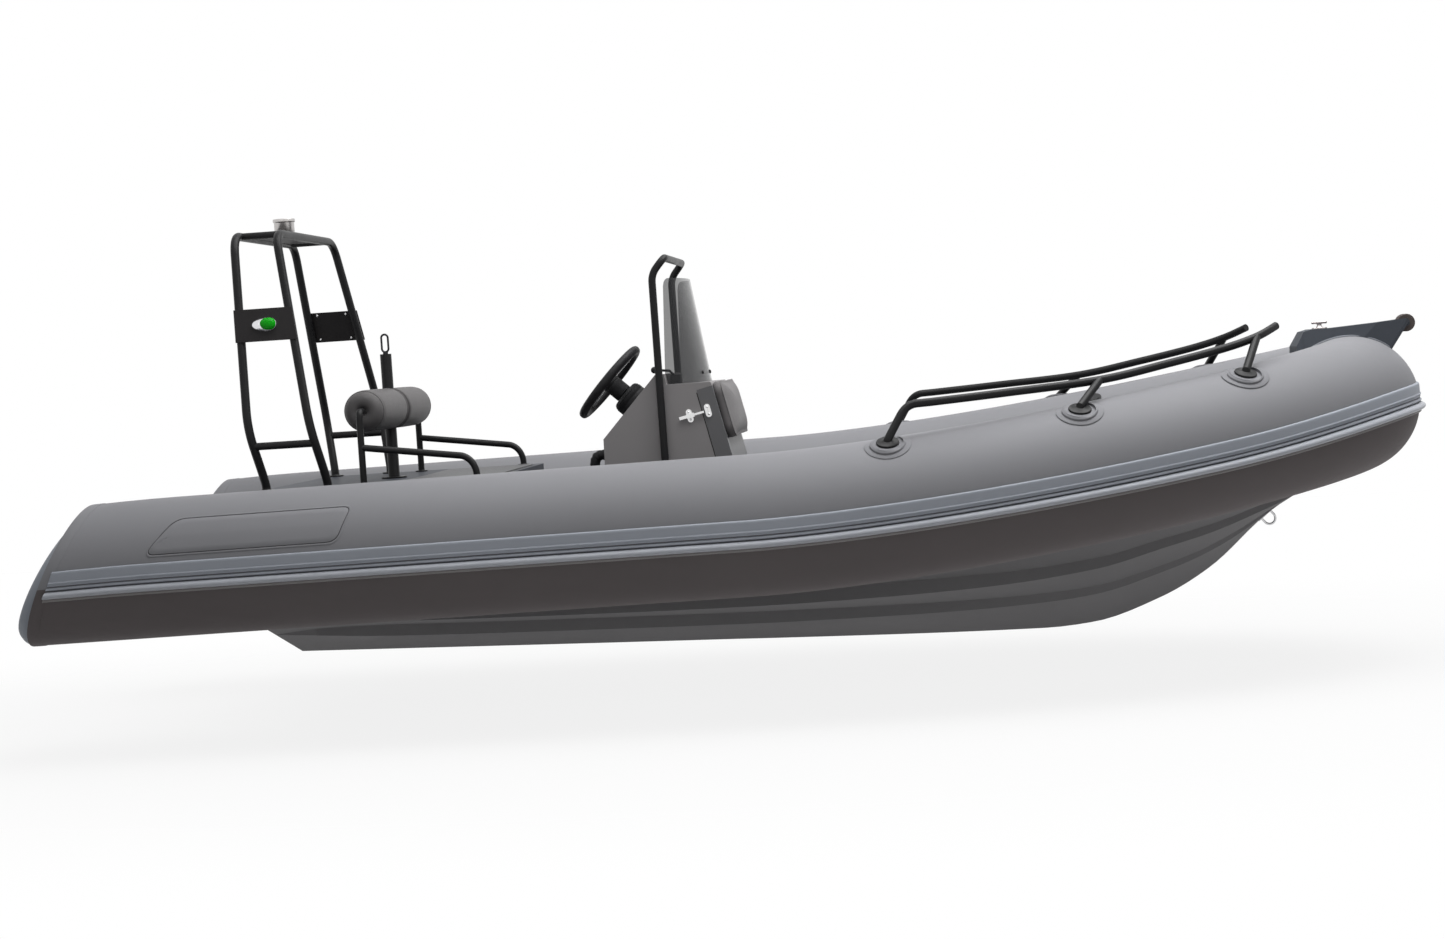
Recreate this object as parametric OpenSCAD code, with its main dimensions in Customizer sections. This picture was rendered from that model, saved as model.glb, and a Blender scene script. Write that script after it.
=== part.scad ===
// Rigid inflatable boat with a jockey console, an arch and bow rails.
// Frame: +X to the bow, +Y to port, +Z up, origin at the waterline amidships. All lengths in mm.

/* [Collar] */
// Diameter of the inflated tubes
tube_d = 500; // [420:10:580]
// Distance between the two tube centre lines
tube_gauge = 1700; // [1600:20:1900]
// Tube centre height above the water, amidships
axis_height = 244; // [200:4:280]
// Rise of the straight tubes per metre towards the bow
axis_rise = 12.5; // [0:0.5:20]
// Seam of the stern cap behind amidships, at tube centre height
seam_aft = 2392; // [2300:10:2600]
// Rake of that seam, run per unit of height
seam_rake = 0.494; // [0.3:0.01:0.6]
// Where the tubes begin to turn in, ahead of amidships
bow_start = 100; // [0:20:200]
// Length of the turned-in bow
bow_length = 2200; // [2000:20:2400]
// Extra rise of the tube centre at the bow
bow_sheer = 245; // [150:5:300]
// Length of the domed stern cap at tube centre height
cap_length = 90; // [60:2:120]
// Share of the tube diameter lost where the tail tapers to the cap
tail_taper = 0.03; // [0:0.005:0.05]
// Length of that taper
tail_length = 440; // [300:20:560]
// Glue line under what is bonded to the tubes
bond_line = 0.1; // [0.05:0.05:0.3]
// Thickness of the flat fender band
fender_thick = 9; // [5:1:14]
// Height of the fender's rubbing bead over the tube
bead_height = 26; // [18:1:36]
// Fender's stop ahead of the cap seam, as a share of the tapered tail
fender_stop = 0.09; // [0.04:0.01:0.2]
// How far the fender climbs round the tube at the bow, in degrees
fender_climb = 7.5; // [0:0.5:12]

/* [Hull] */
// Transom behind amidships
transom_aft = 1780; // [1700:10:1880]
// Keel depth under the water at the transom
keel_depth = 202; // [170:2:240]
// Cockpit sole above the water
sole_height = 62; // [40:2:80]
// Thickness of the sole panel
panel_thick = 8; // [4:1:14]
// Width of the spray rails
strake_width = 34; // [20:1:50]
// Depth of the spray rails
strake_depth = 12; // [6:1:18]
// Transom board thickness
transom_thick = 45; // [35:1:60]
// Room between the transom board and each tube
transom_gap = 50; // [20:5:120]
// Transom board height over the sole
transom_high = 260; // [200:10:300]

/* [Stern bench] */
// Bench top above the sole panel
bench_high = 385; // [350:5:420]
// Bench length from the transom board
bench_length = 855; // [800:5:900]
// Room between the bench and each tube
bench_gap = 15; // [8:1:40]
// Bench top slab thickness
slab_thick = 38; // [25:1:60]
// Seat pad length
seat_length = 350; // [300:10:400]
// Seat pad width
seat_width = 920; // [860:10:930]
// Seat pad thickness
seat_thick = 26; // [22:1:34]
// Depth of the recess that the seat pad lies in
seat_recess = 14; // [8:1:18]

/* [Backrest frame] */
// Backrest pipe diameter
seat_pipe_d = 25; // [20:1:32]
// Distance between the backrest's side frames
seat_span = 1010; // [1000:5:1060]
// Room from the seat pad to the backrest uprights
upright_room = 125; // [100:5:150]
// Backrest uprights ahead of the arch's fore feet
upright_ahead = 133; // [110:1:160]
// Bolster axis above the bench
bolster_high = 272; // [240:4:300]
// Bolster diameter
bolster_d = 157; // [120:1:180]
// Run of the armrest from the upright to its front foot
frame_run = 425; // [400:5:450]
// Ski pole diameter
pole_d = 44; // [38:1:60]
// Ski pole height over the bench
pole_high = 484; // [420:4:540]

/* [Arch] */
// Arch pipe diameter
arch_pipe_d = 32; // [25:1:40]
// Height of the arch's top pipes over the bench
arch_high = 955; // [850:5:1050]
// Height of the knee in the arch legs over the bench
knee_high = 233; // [200:5:280]
// Arch feet in from the bench's side
foot_inset = 65; // [50:5:110]
// Knees out from the feet, each side
leg_flare = 65; // [40:5:100]
// Top corners in from the knees, each side
crown_inset = 155; // [120:5:190]
// Aft feet of the arch ahead of the bench top's aft edge
arch_ahead = 46; // [40:1:80]
// Fore feet ahead of the aft ones
foot_spread = 232; // [200:4:260]
// Knees behind the feet
knee_back = 36; // [20:4:60]
// Aft top pipe behind its feet
aft_lean = 80; // [50:5:110]
// Fore top pipe behind its feet
fore_lean = 152; // [120:4:180]
// Side plate thickness
plate_thick = 6; // [4:1:10]
// Top light diameter
light_d = 78; // [60:2:90]

/* [Console] */
// Console width
console_width = 620; // [560:10:680]
// Room between the bench and the console
legroom = 385; // [340:5:440]
// Height of the rear face over the sole panel
rear_high = 493; // [440:5:540]
// Run of the sloping dash
dash_run = 210; // [180:5:240]
// Rise of the sloping dash
dash_rise = 229; // [190:3:250]
// Depth of the step from the coaming to the flat top
coaming_step = 39; // [20:1:60]
// Length of the flat top
top_length = 165; // [150:5:190]
// Console wall
console_wall = 22; // [12:1:30]
// Front hatch depth
hatch_depth = 60; // [45:1:75]
// Seam between hatch and console
hatch_gap = 0.4; // [0.3:0.1:1]
// Front cushion thickness
back_thick = 46; // [36:2:80]
// Grab rail pipe diameter
grab_pipe_d = 28; // [22:1:34]
// Grab rail height over the sole panel
grab_high = 1154; // [1080:2:1240]
// Windscreen height
screen_high = 397; // [320:5:440]
// Windscreen sheet thickness
screen_thick = 5; // [4:0.5:8]
// Steering wheel diameter
wheel_d = 350; // [320:5:380]
// Steering wheel rim thickness
rim_d = 34; // [26:1:40]
// Wheel plane above the dash
wheel_off = 145; // [125:5:165]

/* [Bow] */
// Bow rail pipe diameter
rail_pipe_d = 29; // [24:1:36]
// Rail pad diameter
pad_d = 122; // [100:2:140]
// Flange diameter at the rail feet
flange_d = 80; // [64:2:92]
// Bow step width at its root
step_width = 300; // [240:10:340]
// Aft end of the bow step behind the bow's tube centre
step_aft = 190; // [160:5:220]
// Roller ahead of the bow's tube centre
roller_ahead = 220; // [210:2:250]
// Roller diameter
roller_d = 66; // [56:2:70]
// Roller width
roller_width = 62; // [50:2:70]
// Roller pin diameter
pin_d = 12; // [8:1:16]
// Running clearance of the roller on its pin
pin_clear = 0.05; // [0.02:0.01:0.1]
// Bow eye rod diameter
eye_rod = 9; // [7:0.5:14]

/* [Hidden] */
$fn = 48;
eps = 0.01;
tr = tube_d / 2;
ty = tube_gauge / 2;
sole_z = sole_height + panel_thick;
bench_z = sole_z + bench_high;
transom_x = -transom_aft;
bench_front = transom_x + transom_thick + bench_length;
bench_half = ty - tr - bench_gap;

// Angles round the tube, outboard equator at 0 and the crown at 90. The fender lies on the facet from 343 to 8.
ring_angles = [8, 21, 34, 47, 60, 73, 86, 99, 112, 125, 138, 151, 164, 177, 190, 202, 213, 225, 240, 255, 270, 284, 298, 313, 328, 343];
nr = len(ring_angles);
bow_turns = [0, 12, 22, 30, 38, 46, 53, 60, 67, 74, 82, 90];

function unit(v) = v / norm(v);
function mix(a, b, f) = a + (b - a) * f;
function flip_y(p) = [p[0], -p[1], p[2]];

// Tube centre line: straight aft, then a flattened quarter of an ellipse whose height follows the sheer.
function tube_z(x) = axis_height + axis_rise * x / 1000
    + (x > bow_start ? bow_sheer * pow((x - bow_start) / bow_length, 1.6) : 0);
function tube_x(t) = bow_start + bow_length * pow(sin(t), 0.87);
function tube_c(t) = [tube_x(t), -ty * cos(t), tube_z(tube_x(t))];
function turn_at(x) = x <= bow_start ? 0 : asin(pow((x - bow_start) / bow_length, 1 / 0.87));
// Outward direction in plan at a turn of t.
function tube_n(t) = t < 0.5 ? [0, -1, 0]
    : let (d = tube_c(min(t + 0.4, 90)) - tube_c(t - 0.4)) unit([d[1], -d[0], 0]);
// Near the bow the fender's strip climbs round the tube, and the rest of the ring makes room for it.
function climb(t, a) = let (f = max(0, min(1, (t - 42) / 36)))
    fender_climb * f * f * (3 - 2 * f) * max(0, cos(1.3 * ((a > 180 ? a - 360 : a) + 4.5)));
function tube_p(t, a, r = tr) = let (e = a + (a > 70 && a < 290 ? 0 : climb(t, a))) tube_c(t) + r * (cos(e) * tube_n(t) + [0, 0, sin(e)]);
function tube_ring(t) = [for (a = ring_angles) tube_p(t, a)];
// Towards the stern the tube grows thinner, at the cost of its crown only.
tail_x = bow_start - (seam_aft + bow_start) * 0.83;
function tail(x) = let (k = max(0, min(1.3, (tail_x - x) / tail_length))) tail_taper * k * k;
function straight_p(x, a, r = tr) = let (q = tail(x)) [x, -ty - r * (1 - q) * cos(a), tube_z(x) - q * tr + r * (1 - q) * sin(a)];
function straight_ring(x) = [for (a = ring_angles) straight_p(x, a)];
// Raked rings of the stern: the seam, and the scaled rings of the cap behind it.
function raked_ring(dx, rake, s) = [for (a = ring_angles)
    let (h = s * tr * sin(a), x = -seam_aft - dx + rake * h) straight_p(x, a, s * tr)];
waist_x = -seam_aft + seam_rake * tr + 110;

// Solid between equal rings. Rings run forward and clockwise as seen from the bow; flips lists the strips cut on
// the other diagonal up to ring flips_end, so that two lofts that share points share their faces.
module loft(rings, flips = [], flips_end = 1000) {
    n = len(rings[0]);
    m = len(rings);
    polyhedron(points = [for (r = rings) each r], faces = [
        [for (j = [n - 1:-1:0]) j],
        [for (j = [0:n - 1]) (m - 1) * n + j],
        for (i = [0:m - 2]) for (j = [0:n - 1])
            let (a = i * n + j, b = i * n + (j + 1) % n, c = b + n, d = a + n)
            each (i < flips_end && len(search(j, flips)) > 0 ? [[a, b, d], [b, c, d]] : [[a, b, c], [a, c, d]])]);
}

// Path with its corners rounded by short parabolas of reach r.
function bend(path, r, k = 3) = [path[0], for (i = [1:len(path) - 2])
    let (p = path[i], u = path[i - 1] - p, v = path[i + 1] - p, a = p + min(r, 0.45 * norm(u)) * unit(u), b = p + min(r, 0.45 * norm(v)) * unit(v))
    each [for (s = [0:k]) let (f = s / k) (1 - f) * (1 - f) * a + 2 * f * (1 - f) * p + f * f * b],
    path[len(path) - 1]];
// Round pipe along a path that never runs along ref.
module pipe(path, d, ref, sides = 12) {
    m = len(path);
    loft([for (i = [0:m - 1])
        let (t = unit(path[min(i + 1, m - 1)] - path[max(i - 1, 0)]), u = unit(cross(ref, t)), v = cross(t, u))
        [for (k = [0:sides - 1]) path[i] + d / 2 * (cos(360 * k / sides) * u - sin(360 * k / sides) * v)]]);
}
module both_sides() {
    children();
    mirror([0, 1, 0]) children();
}
// Puts z along a direction at a point.
module aim(p, dir) {
    w = unit(dir);
    u = unit(cross(abs(w[1]) < 0.9 ? [0, 1, 0] : [1, 0, 0], w));
    v = cross(w, u);
    multmatrix([[u[0], v[0], w[0], p[0]], [u[1], v[1], w[1], p[1]], [u[2], v[2], w[2], p[2]], [0, 0, 0, 1]]) children();
}
module round_box(x0, x1, half, z0, z1, r) {
    translate([x0 + r, -half + r, z0]) linear_extrude(z1 - z0) hull_square(x1 - x0 - 2 * r, 2 * (half - r), r);
}
module hull_square(l, w, r) {
    union() {
        translate([-r, 0]) square([l + 2 * r, w]);
        translate([0, -r]) square([l, w + 2 * r]);
        for (x = [0, l]) for (y = [0, w]) translate([x, y]) circle(r);
    }
}

// Collar: two straight tubes, the bow tube between them, and what is bonded to them.
module tube_side() { loft([raked_ring(0, seam_rake, 1), straight_ring(waist_x), straight_ring(tail_x), tube_ring(0)]); }
module tube_starboard() { color("#77797b") tube_side(); }
module tube_port() { color("#77797b") mirror([0, 1, 0]) tube_side(); }
module bow_tube_solid() {
    half = [for (t = bow_turns) tube_ring(t)];
    k = len(bow_turns);
    loft([for (r = half) r, for (i = [k - 2:-1:0]) [for (p = half[i]) flip_y(p)]]);
}
module tube_bow() { color("#77797b") bow_tube_solid(); }
module cap() {
    loft([raked_ring(cap_length, 0.57, 0.1), raked_ring(cap_length * 0.94, 0.575, 0.32), raked_ring(cap_length * 0.82, 0.59, 0.55),
        raked_ring(cap_length * 0.64, 0.61, 0.776), raked_ring(cap_length * 0.32, 0.57, 0.92),
        raked_ring(cap_length * 0.11, 0.52, 0.985), raked_ring(bond_line, seam_rake, 1)]);
}
module cap_starboard() { color("#4b5563") cap(); }
module cap_port() { color("#4b5563") mirror([0, 1, 0]) cap(); }

// Fender: flat band with a rubbing bead on its lower edge, seated on the tube's outboard facet.
function fender_ring(low, high, n) = [low, low + 0.45 * bead_height * n, low + (high - low) * 0.1 + 0.9 * bead_height * n,
    low + (high - low) * 0.24 + bead_height * n, low + (high - low) * 0.38 + 0.9 * bead_height * n,
    low + (high - low) * 0.46 + 0.45 * bead_height * n, low + (high - low) * 0.5 + fender_thick * n,
    high + fender_thick * n, high];
function fender_at(t) = let (n = unit(tube_n(t) - [0, 0, 0.08])) fender_ring(tube_p(t, 343) + bond_line * n, tube_p(t, 8) + bond_line * n, n);
fender_n = unit([0, -1, -0.08]);
function fender_on(low, high) = fender_ring(low + bond_line * fender_n, high + bond_line * fender_n, fender_n);
module fender_side(flips_end = 1000) {
    seam = raked_ring(0, seam_rake, 1);
    loft([fender_on(mix(seam[nr - 1], straight_p(waist_x, 343), fender_stop), mix(seam[0], straight_p(waist_x, 8), fender_stop)),
        for (x = [waist_x, tail_x]) fender_on(straight_p(x, 343), straight_p(x, 8)),
        for (t = bow_turns) fender_at(t)], flips = [8], flips_end = flips_end);
}
module fender_starboard() { color("#8d949c") fender_side(); }
module fender_port() { color("#8d949c") mirror([0, 1, 0]) fender_side(3); }

// Hull: keel, two spray rails and a chine a side, lofted with the same rings that the tubes rest in.
// Both curves give a height over the keel's aft end along the hull: -1 at the transom, 0 where the bow starts, 1 at the bow.
keel_curve = [[-1, 0], [-0.165, -42], [0.464, -68], [0.5455, -55], [0.6636, 26], [0.75, 130], [0.85, 322], [0.868, 354], [1.055, 600]];
chine_curve = [[-1, 190], [-0.5, 163], [-0.027, 153], [0.223, 159], [0.382, 171], [0.5455, 204], [0.65, 255], [0.736, 297], [0.823, 354], [1.055, 520]];
hull_turns = [0, 12, 22, 30, 38, 46, 53, 60, 67, 74];
function along(x) = x < bow_start ? (x - bow_start) / (bow_start - transom_x) : (x - bow_start) / bow_length;
function keel_z(x) = -keel_depth + lookup(along(x), keel_curve);
function chine_z(x) = -keel_depth + lookup(along(x), chine_curve);
function inner_z(x) = mix(sole_height, tube_z(x) - 0.72 * tr, max(0, min(1, (along(x) - 0.455) / 0.364)));
function half_ring(k, c, arc, inner, f) =
    let (s = strake_width / (0.76 * ty), d = strake_depth * f)
    [k, mix(k, c, 0.5), mix(k, c, 0.5 + s) - [0, 0, d], mix(k, c, 0.5 + 1.2 * s), mix(k, c, 0.93),
        c - [0, 0, d * 0.8], c + (arc[0] - c) * 0.14, arc[0], arc[1], arc[2], inner];
function full_ring(h) = [for (p = h) p, for (i = [len(h) - 1:-1:1]) flip_y(h[i])];
function aft_ring(x) = full_ring(half_ring([x, 0, keel_z(x)], [x, -0.765 * ty, chine_z(x)],
    [for (a = [255, 240, 225]) straight_p(x, a)], [x, -ty + 0.84 * tr, sole_height], 1));
function inner_p(t) = let (c = tube_c(t), b = tube_p(t, 225)) [mix(c[0], b[0], 1.1), mix(b[1], 0, 0.06), min(inner_z(c[0]), b[2])];
function bow_ring(t) = let (c = tube_c(t), kx = mix(bow_start, c[0], 0.895), cx = mix(bow_start, c[0], 0.93), f = max(0, 1 - t / 70))
    full_ring(half_ring([kx, 0, keel_z(kx)], [cx, 0.765 * c[1], max(chine_z(cx), keel_z(kx) + 8)],
    [for (a = [255, 240, 225]) tube_p(t, a)], inner_p(t), f));
module hull_solid() {
    loft([aft_ring(transom_x), aft_ring(mix(transom_x, bow_start, 0.48)), for (t = hull_turns) bow_ring(t)], flips = [7, 8, 13, 14]);
}
module hull() { color("#3f4247") hull_solid(); }
module sole_panel() {
    aft = transom_x + transom_thick + 2;
    side = ty - tr - 2;
    edge = [[aft, side], [bow_start, side], [inner_p(12)[0], -inner_p(12)[1] - 30], [inner_p(22)[0] - 8, -inner_p(22)[1] - 35]];
    color("#6a6c6e") translate([0, 0, sole_height]) linear_extrude(panel_thick)
        polygon([for (p = edge) [p[0], -p[1]], for (i = [3:-1:0]) edge[i]]);
}
transom_width = 2 * (ty - tr - transom_gap);
module transom_board() {
    color("#3f4247") translate([transom_x, 0, sole_height]) rotate([90, 0, 90]) linear_extrude(transom_thick)
        polygon([[-transom_width / 2, 0], [transom_width / 2, 0], [transom_width / 2, transom_high * 0.8],
            [transom_width / 2 - 90, transom_high], [-transom_width / 2 + 90, transom_high], [-transom_width / 2, transom_high * 0.8]]);
}

// Stern bench with its lid slab, which runs aft over the transom board and carries the arch.
seat_front = bench_front - 10;
seat_aft = seat_front - seat_length;
upright_x = seat_aft - upright_room;
fore_feet = upright_x - upright_ahead;
aft_feet = fore_feet - foot_spread;
slab_aft = aft_feet - arch_ahead;
module stern_bench() {
    color("#55585b") difference() {
        union() {
            round_box(transom_x + transom_thick + 4, bench_front, bench_half, sole_z, bench_z - slab_thick / 2, 18);
            round_box(slab_aft, bench_front + 10, bench_half + 6, bench_z - slab_thick, bench_z, 18);
        }
        round_box(seat_aft - 1, seat_front + 1, seat_width / 2 + 1, bench_z - seat_recess, bench_z + 1, 30);
    }
}
module bench_cushion() {
    color("#6b6e70") round_box(seat_aft, seat_front, seat_width / 2, bench_z - seat_recess, bench_z - seat_recess + seat_thick, 29);
}

// Backrest: two side frames, a bolster in two halves and the ski pole between them.
bolster_z = bench_z + bolster_high;
seat_half = seat_span / 2;
frame_foot_x = upright_x + frame_run;
bolster_end = seat_half - 50;
module seat_side() {
    pipe(bend([[upright_x, -seat_half, bench_z], [upright_x, -seat_half, bolster_z], [upright_x, -bolster_end, bolster_z]], 30), seat_pipe_d, [1, 0, 0]);
    pipe(bend([[upright_x, -seat_half, bench_z + 0.51 * bolster_high], [frame_foot_x - 65, -seat_half, bench_z + 84],
        [frame_foot_x, -seat_half, bench_z + stub], [frame_foot_x, -seat_half, bench_z]], 28), seat_pipe_d, [0, 1, 0]);
    for (x = [upright_x, frame_foot_x]) translate([x, -seat_half, bench_z]) cylinder(h = 5, d = seat_pipe_d + 26);
}
module seat_frame() { color("#1d1e20") both_sides() seat_side(); }
bolster_gap = 8;
pole_fit = 1;
end_round = 30;
// Profile of a padded roll: domed at its outer end, softly rounded at the inner one.
module bolster() {
    l = bolster_end - bolster_gap;
    r = bolster_d / 2;
    difference() {
        translate([upright_x, -bolster_end, bolster_z]) rotate([-90, 0, 0]) rotate_extrude()
            polygon([[0, 0], [seat_pipe_d, 0], for (a = [0:15:90]) [r - end_round * (1 - sin(a)), 3 + end_round * (1 - cos(a))],
                for (a = [0:22.5:90]) [r - 14 + 14 * cos(a), l - 14 + 14 * sin(a)], [0, l]]);
        translate([upright_x, 0, bolster_z - bolster_d]) cylinder(h = 2 * bolster_d, d = pole_d + pole_fit);
    }
}
module bolster_starboard() { color("#5d6062") bolster(); }
module bolster_port() { color("#5d6062") mirror([0, 1, 0]) bolster(); }
module ski_pole() {
    color("#1d1e20") translate([upright_x, 0, bench_z]) {
        cylinder(h = 6, d = pole_d + 54);
        cylinder(h = pole_high, d = pole_d);
    }
}
// Long ring of bent rod that stands on the pole.
hook_r = 13;
hook_rod = 8;
hook_straight = 42;
module ski_hook() {
    color("#c9ccd0") translate([upright_x, 0, bench_z + pole_high]) {
        cylinder(h = 10, d = 20);
        translate([0, 0, 8 + hook_r]) rotate([90, 0, 0]) {
            for (k = [0, 1]) translate([0, k * hook_straight, 0]) rotate([0, 0, k * 180]) rotate_extrude(angle = -180) translate([hook_r, 0]) circle(hook_rod / 2);
            for (k = [-1, 1]) translate([k * hook_r, 0, 0]) rotate([-90, 0, 0]) cylinder(h = hook_straight, d = hook_rod);
        }
    }
}

// Arch: two bent hoops with low tie bars, two side plates, a top plate and its light.
foot_half = bench_half - foot_inset;
knee_half = foot_half + leg_flare;
crown_half = knee_half - crown_inset;
arch_z = bench_z + arch_high;
knee_z = bench_z + knee_high;
tie_f = 0.69;
stub = 26;
function leg(foot, knee, crown) = [[foot, -foot_half, bench_z], [foot, -foot_half, bench_z + stub], [knee, -knee_half, knee_z], [crown, -crown_half, arch_z]];
function hoop(l) = [for (p = l) p, for (i = [3:-1:0]) flip_y(l[i])];
aft_leg = leg(aft_feet, aft_feet - knee_back, aft_feet - aft_lean);
fore_leg = leg(fore_feet, fore_feet - knee_back, fore_feet - fore_lean);
function in_from(p, d) = p + [0, d, 0];
module arch_frame() {
    color("#1d1e20") union() {
        pipe(bend(hoop(aft_leg), 70), arch_pipe_d, [1, 0, 0]);
        pipe(bend(hoop(fore_leg), 70), arch_pipe_d, [1, 0, 0]);
        both_sides() {
            pipe([mix(aft_leg[1], aft_leg[2], tie_f), mix(fore_leg[1], fore_leg[2], tie_f)], arch_pipe_d - 4, [0, 1, 0]);
            pipe([in_from(aft_leg[3], 78), in_from(fore_leg[3], 78)], arch_pipe_d - 6, [0, 1, 0]);
            for (x = [aft_feet, fore_feet]) translate([x, -foot_half, bench_z]) cylinder(h = 6, d = arch_pipe_d + 34);
        }
    }
}
plate_f = 0.525;
plate_aft = mix(aft_leg[2], aft_leg[3], plate_f);
plate_fore = mix(fore_leg[2], fore_leg[3], plate_f);
plate_lean = atan2(knee_half - crown_half, arch_z - knee_z);
plate_high = 124;
plate_room = arch_pipe_d / 2 + 0.5;
// Lies between the hoop legs, in the plane of their axes.
module on_plate() { translate((plate_aft + plate_fore) / 2) rotate([-plate_lean, 0, 0]) children(); }
module arch_plate() {
    mid = (plate_aft + plate_fore) / 2;
    run = norm([0, knee_half - crown_half, arch_z - knee_z]);
    d = plate_high / 2 / run;
    on_plate() rotate([90, 0, 0]) linear_extrude(plate_thick, center = true) polygon([
        [mix(aft_leg[2], aft_leg[3], plate_f - d)[0] - mid[0] + plate_room, -plate_high / 2],
        [mix(fore_leg[2], fore_leg[3], plate_f - d)[0] - mid[0] - plate_room, -plate_high / 2],
        [mix(fore_leg[2], fore_leg[3], plate_f + d)[0] - mid[0] - plate_room, plate_high / 2],
        [mix(aft_leg[2], aft_leg[3], plate_f + d)[0] - mid[0] + plate_room, plate_high / 2]]);
}
module arch_plate_starboard() { color("#2a2c2e") arch_plate(); }
module arch_plate_port() { color("#2a2c2e") mirror([0, 1, 0]) arch_plate(); }
module side_light() {
    on_plate() translate([0, -plate_thick / 2, 0]) rotate([90, 0, 0]) {
        linear_extrude(8) hull_lens(95, 55);
        translate([10, 0, 8 - eps]) linear_extrude(18) hull_lens(64, 36);
    }
}
module hull_lens(l, h) {
    union() {
        square([l - h, h], center = true);
        for (s = [-1, 1]) translate([s * (l - h) / 2, 0]) circle(h / 2);
    }
}
module light_starboard() { color("#2f8f4f") side_light(); }
module light_port() { color("#b03030") mirror([0, 1, 0]) side_light(); }
// Plate between the top pipes, and the light that stands on it.
module arch_top_plate() {
    color("#2a2c2e") round_box(aft_leg[3][0] + plate_room, fore_leg[3][0] - plate_room, crown_half - 130, arch_z - plate_thick / 2, arch_z + plate_thick / 2, 10);
}
module mast_light() {
    h = 76;
    color("#c9ccd0") translate([(aft_leg[3][0] + fore_leg[3][0]) / 2, 0, arch_z + plate_thick / 2]) difference() {
        union() {
            cylinder(h = 5, d = light_d + 16);
            cylinder(h = h, d = light_d);
            translate([0, 0, h - 11]) cylinder(h = 11, d = light_d + 8);
        }
        translate([0, 0, h - 7]) cylinder(h = 8, d = light_d - 6);
    }
}

// Console: hollow moulding with a sloping dash, open at the front behind a side-hung hatch.
cons_half = console_width / 2;
rear_x = bench_front + legroom;
dash_z = sole_z + rear_high;
coaming_z = dash_z + dash_rise;
coaming_x = rear_x + 5 + dash_run;
top_z = coaming_z - coaming_step;
top_x = coaming_x + 40;
lip_x = top_x + top_length;
dash_angle = atan2(dash_rise, dash_run);
// The hatch stands in a frame that leans aft by hatch_lean: its foot lies on the seam over the toe.
hatch_lean = 12.75;
hatch_foot_z = sole_z + 70;
lip_thick = 28;
seam_top = [lip_x - hatch_depth * cos(hatch_lean) + 5, top_z - lip_thick];
hatch_high = (seam_top[1] - hatch_foot_z) / cos(hatch_lean);
seam_foot = [seam_top[0] + hatch_high * sin(hatch_lean), hatch_foot_z];
function seam(h, d) = [seam_foot[0] - h * sin(hatch_lean) + d * cos(hatch_lean), seam_foot[1] + h * cos(hatch_lean) + d * sin(hatch_lean)];
module xz_prism(pts, half) { rotate([90, 0, 0]) translate([0, 0, -half]) linear_extrude(2 * half) polygon(pts); }
module in_hatch() { translate([seam_foot[0], 0, seam_foot[1]]) rotate([0, -hatch_lean, 0]) children(); }
// Two butt hinges on the port side, the pin and the end knuckles with the console, the middle knuckle with the hatch.
hinge_at = [60, 470];
hinge_high = 70;
hinge_r = 5;
hinge_pin = 5;
hinge_clear = 0.05;
hinge_y = cons_half + hinge_r + 0.3;
module knuckle(z, h, side) {
    translate([0, hinge_y, z]) cylinder(h = h, r = hinge_r);
    translate([side < 0 ? -8 : 0, cons_half + 0.3, z]) cube([8, 2.5, h]);
}
module leaf(side) { translate([side < 0 ? -36 : hinge_r + 1.5, cons_half - eps, 0]) cube([36 - hinge_r - 1.5, 2.8, hinge_high]); }
module hinge_fixed() {
    for (z = hinge_at) translate([0, 0, z]) {
        translate([0, hinge_y, 0]) cylinder(h = hinge_high, d = hinge_pin);
        knuckle(0, 22, -1);
        knuckle(hinge_high - 22, 22, -1);
        leaf(-1);
    }
}
module hinge_moving() {
    for (z = hinge_at) translate([0, 0, z]) difference() {
        union() {
            knuckle(22.5, hinge_high - 45, 1);
            leaf(1);
        }
        translate([0, hinge_y, -1]) cylinder(h = hinge_high + 2, d = hinge_pin + 2 * hinge_clear);
    }
}
module console_body() {
    color("#4c4d4e") union() {
        console_shell();
        in_hatch() hinge_fixed();
    }
}
module console_shell() {
    w = console_wall;
    difference() {
        xz_prism([[rear_x, sole_z], [rear_x + 5, dash_z], [coaming_x, coaming_z], [coaming_x + 34, coaming_z], [top_x, top_z],
            [lip_x, top_z], seam(hatch_high + hatch_gap, hatch_depth), seam(hatch_high + hatch_gap, 0), seam(-hatch_gap, 0),
            seam(-hatch_gap, hatch_depth), [seam_foot[0] + 75, sole_z]], cons_half);
        xz_prism([[rear_x + w, sole_z + w], [rear_x + 5 + w, dash_z - w * 0.4], [coaming_x + w * 0.4, top_z - w], [seam_top[0] + 1, top_z - lip_thick - 12],
            seam(hatch_high - 14, 2), seam(60, 2), seam(60, -20), [seam_foot[0] - 40, sole_z + w]], cons_half - w);
    }
}
module console_hatch() {
    color("#4c4d4e") in_hatch() union() {
        difference() {
            translate([hatch_gap, -cons_half, 0]) cube([hatch_depth - hatch_gap, console_width, hatch_high]);
            translate([-1, -cons_half + 26, 26]) cube([hatch_depth - 15, console_width - 52, hatch_high - 52]);
        }
        hinge_moving();
    }
}
back_high = 220;
back_over = 12;
back_half = cons_half - 20;
module console_cushion() {
    color("#6b6e70") in_hatch() translate([hatch_depth, 0, hatch_high + back_over - back_high]) rotate([90, 0, 90])
        translate([-back_half + 20, 20, 0]) linear_extrude(back_thick) hull_square(2 * back_half - 40, back_high - 40, 20);
}
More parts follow.
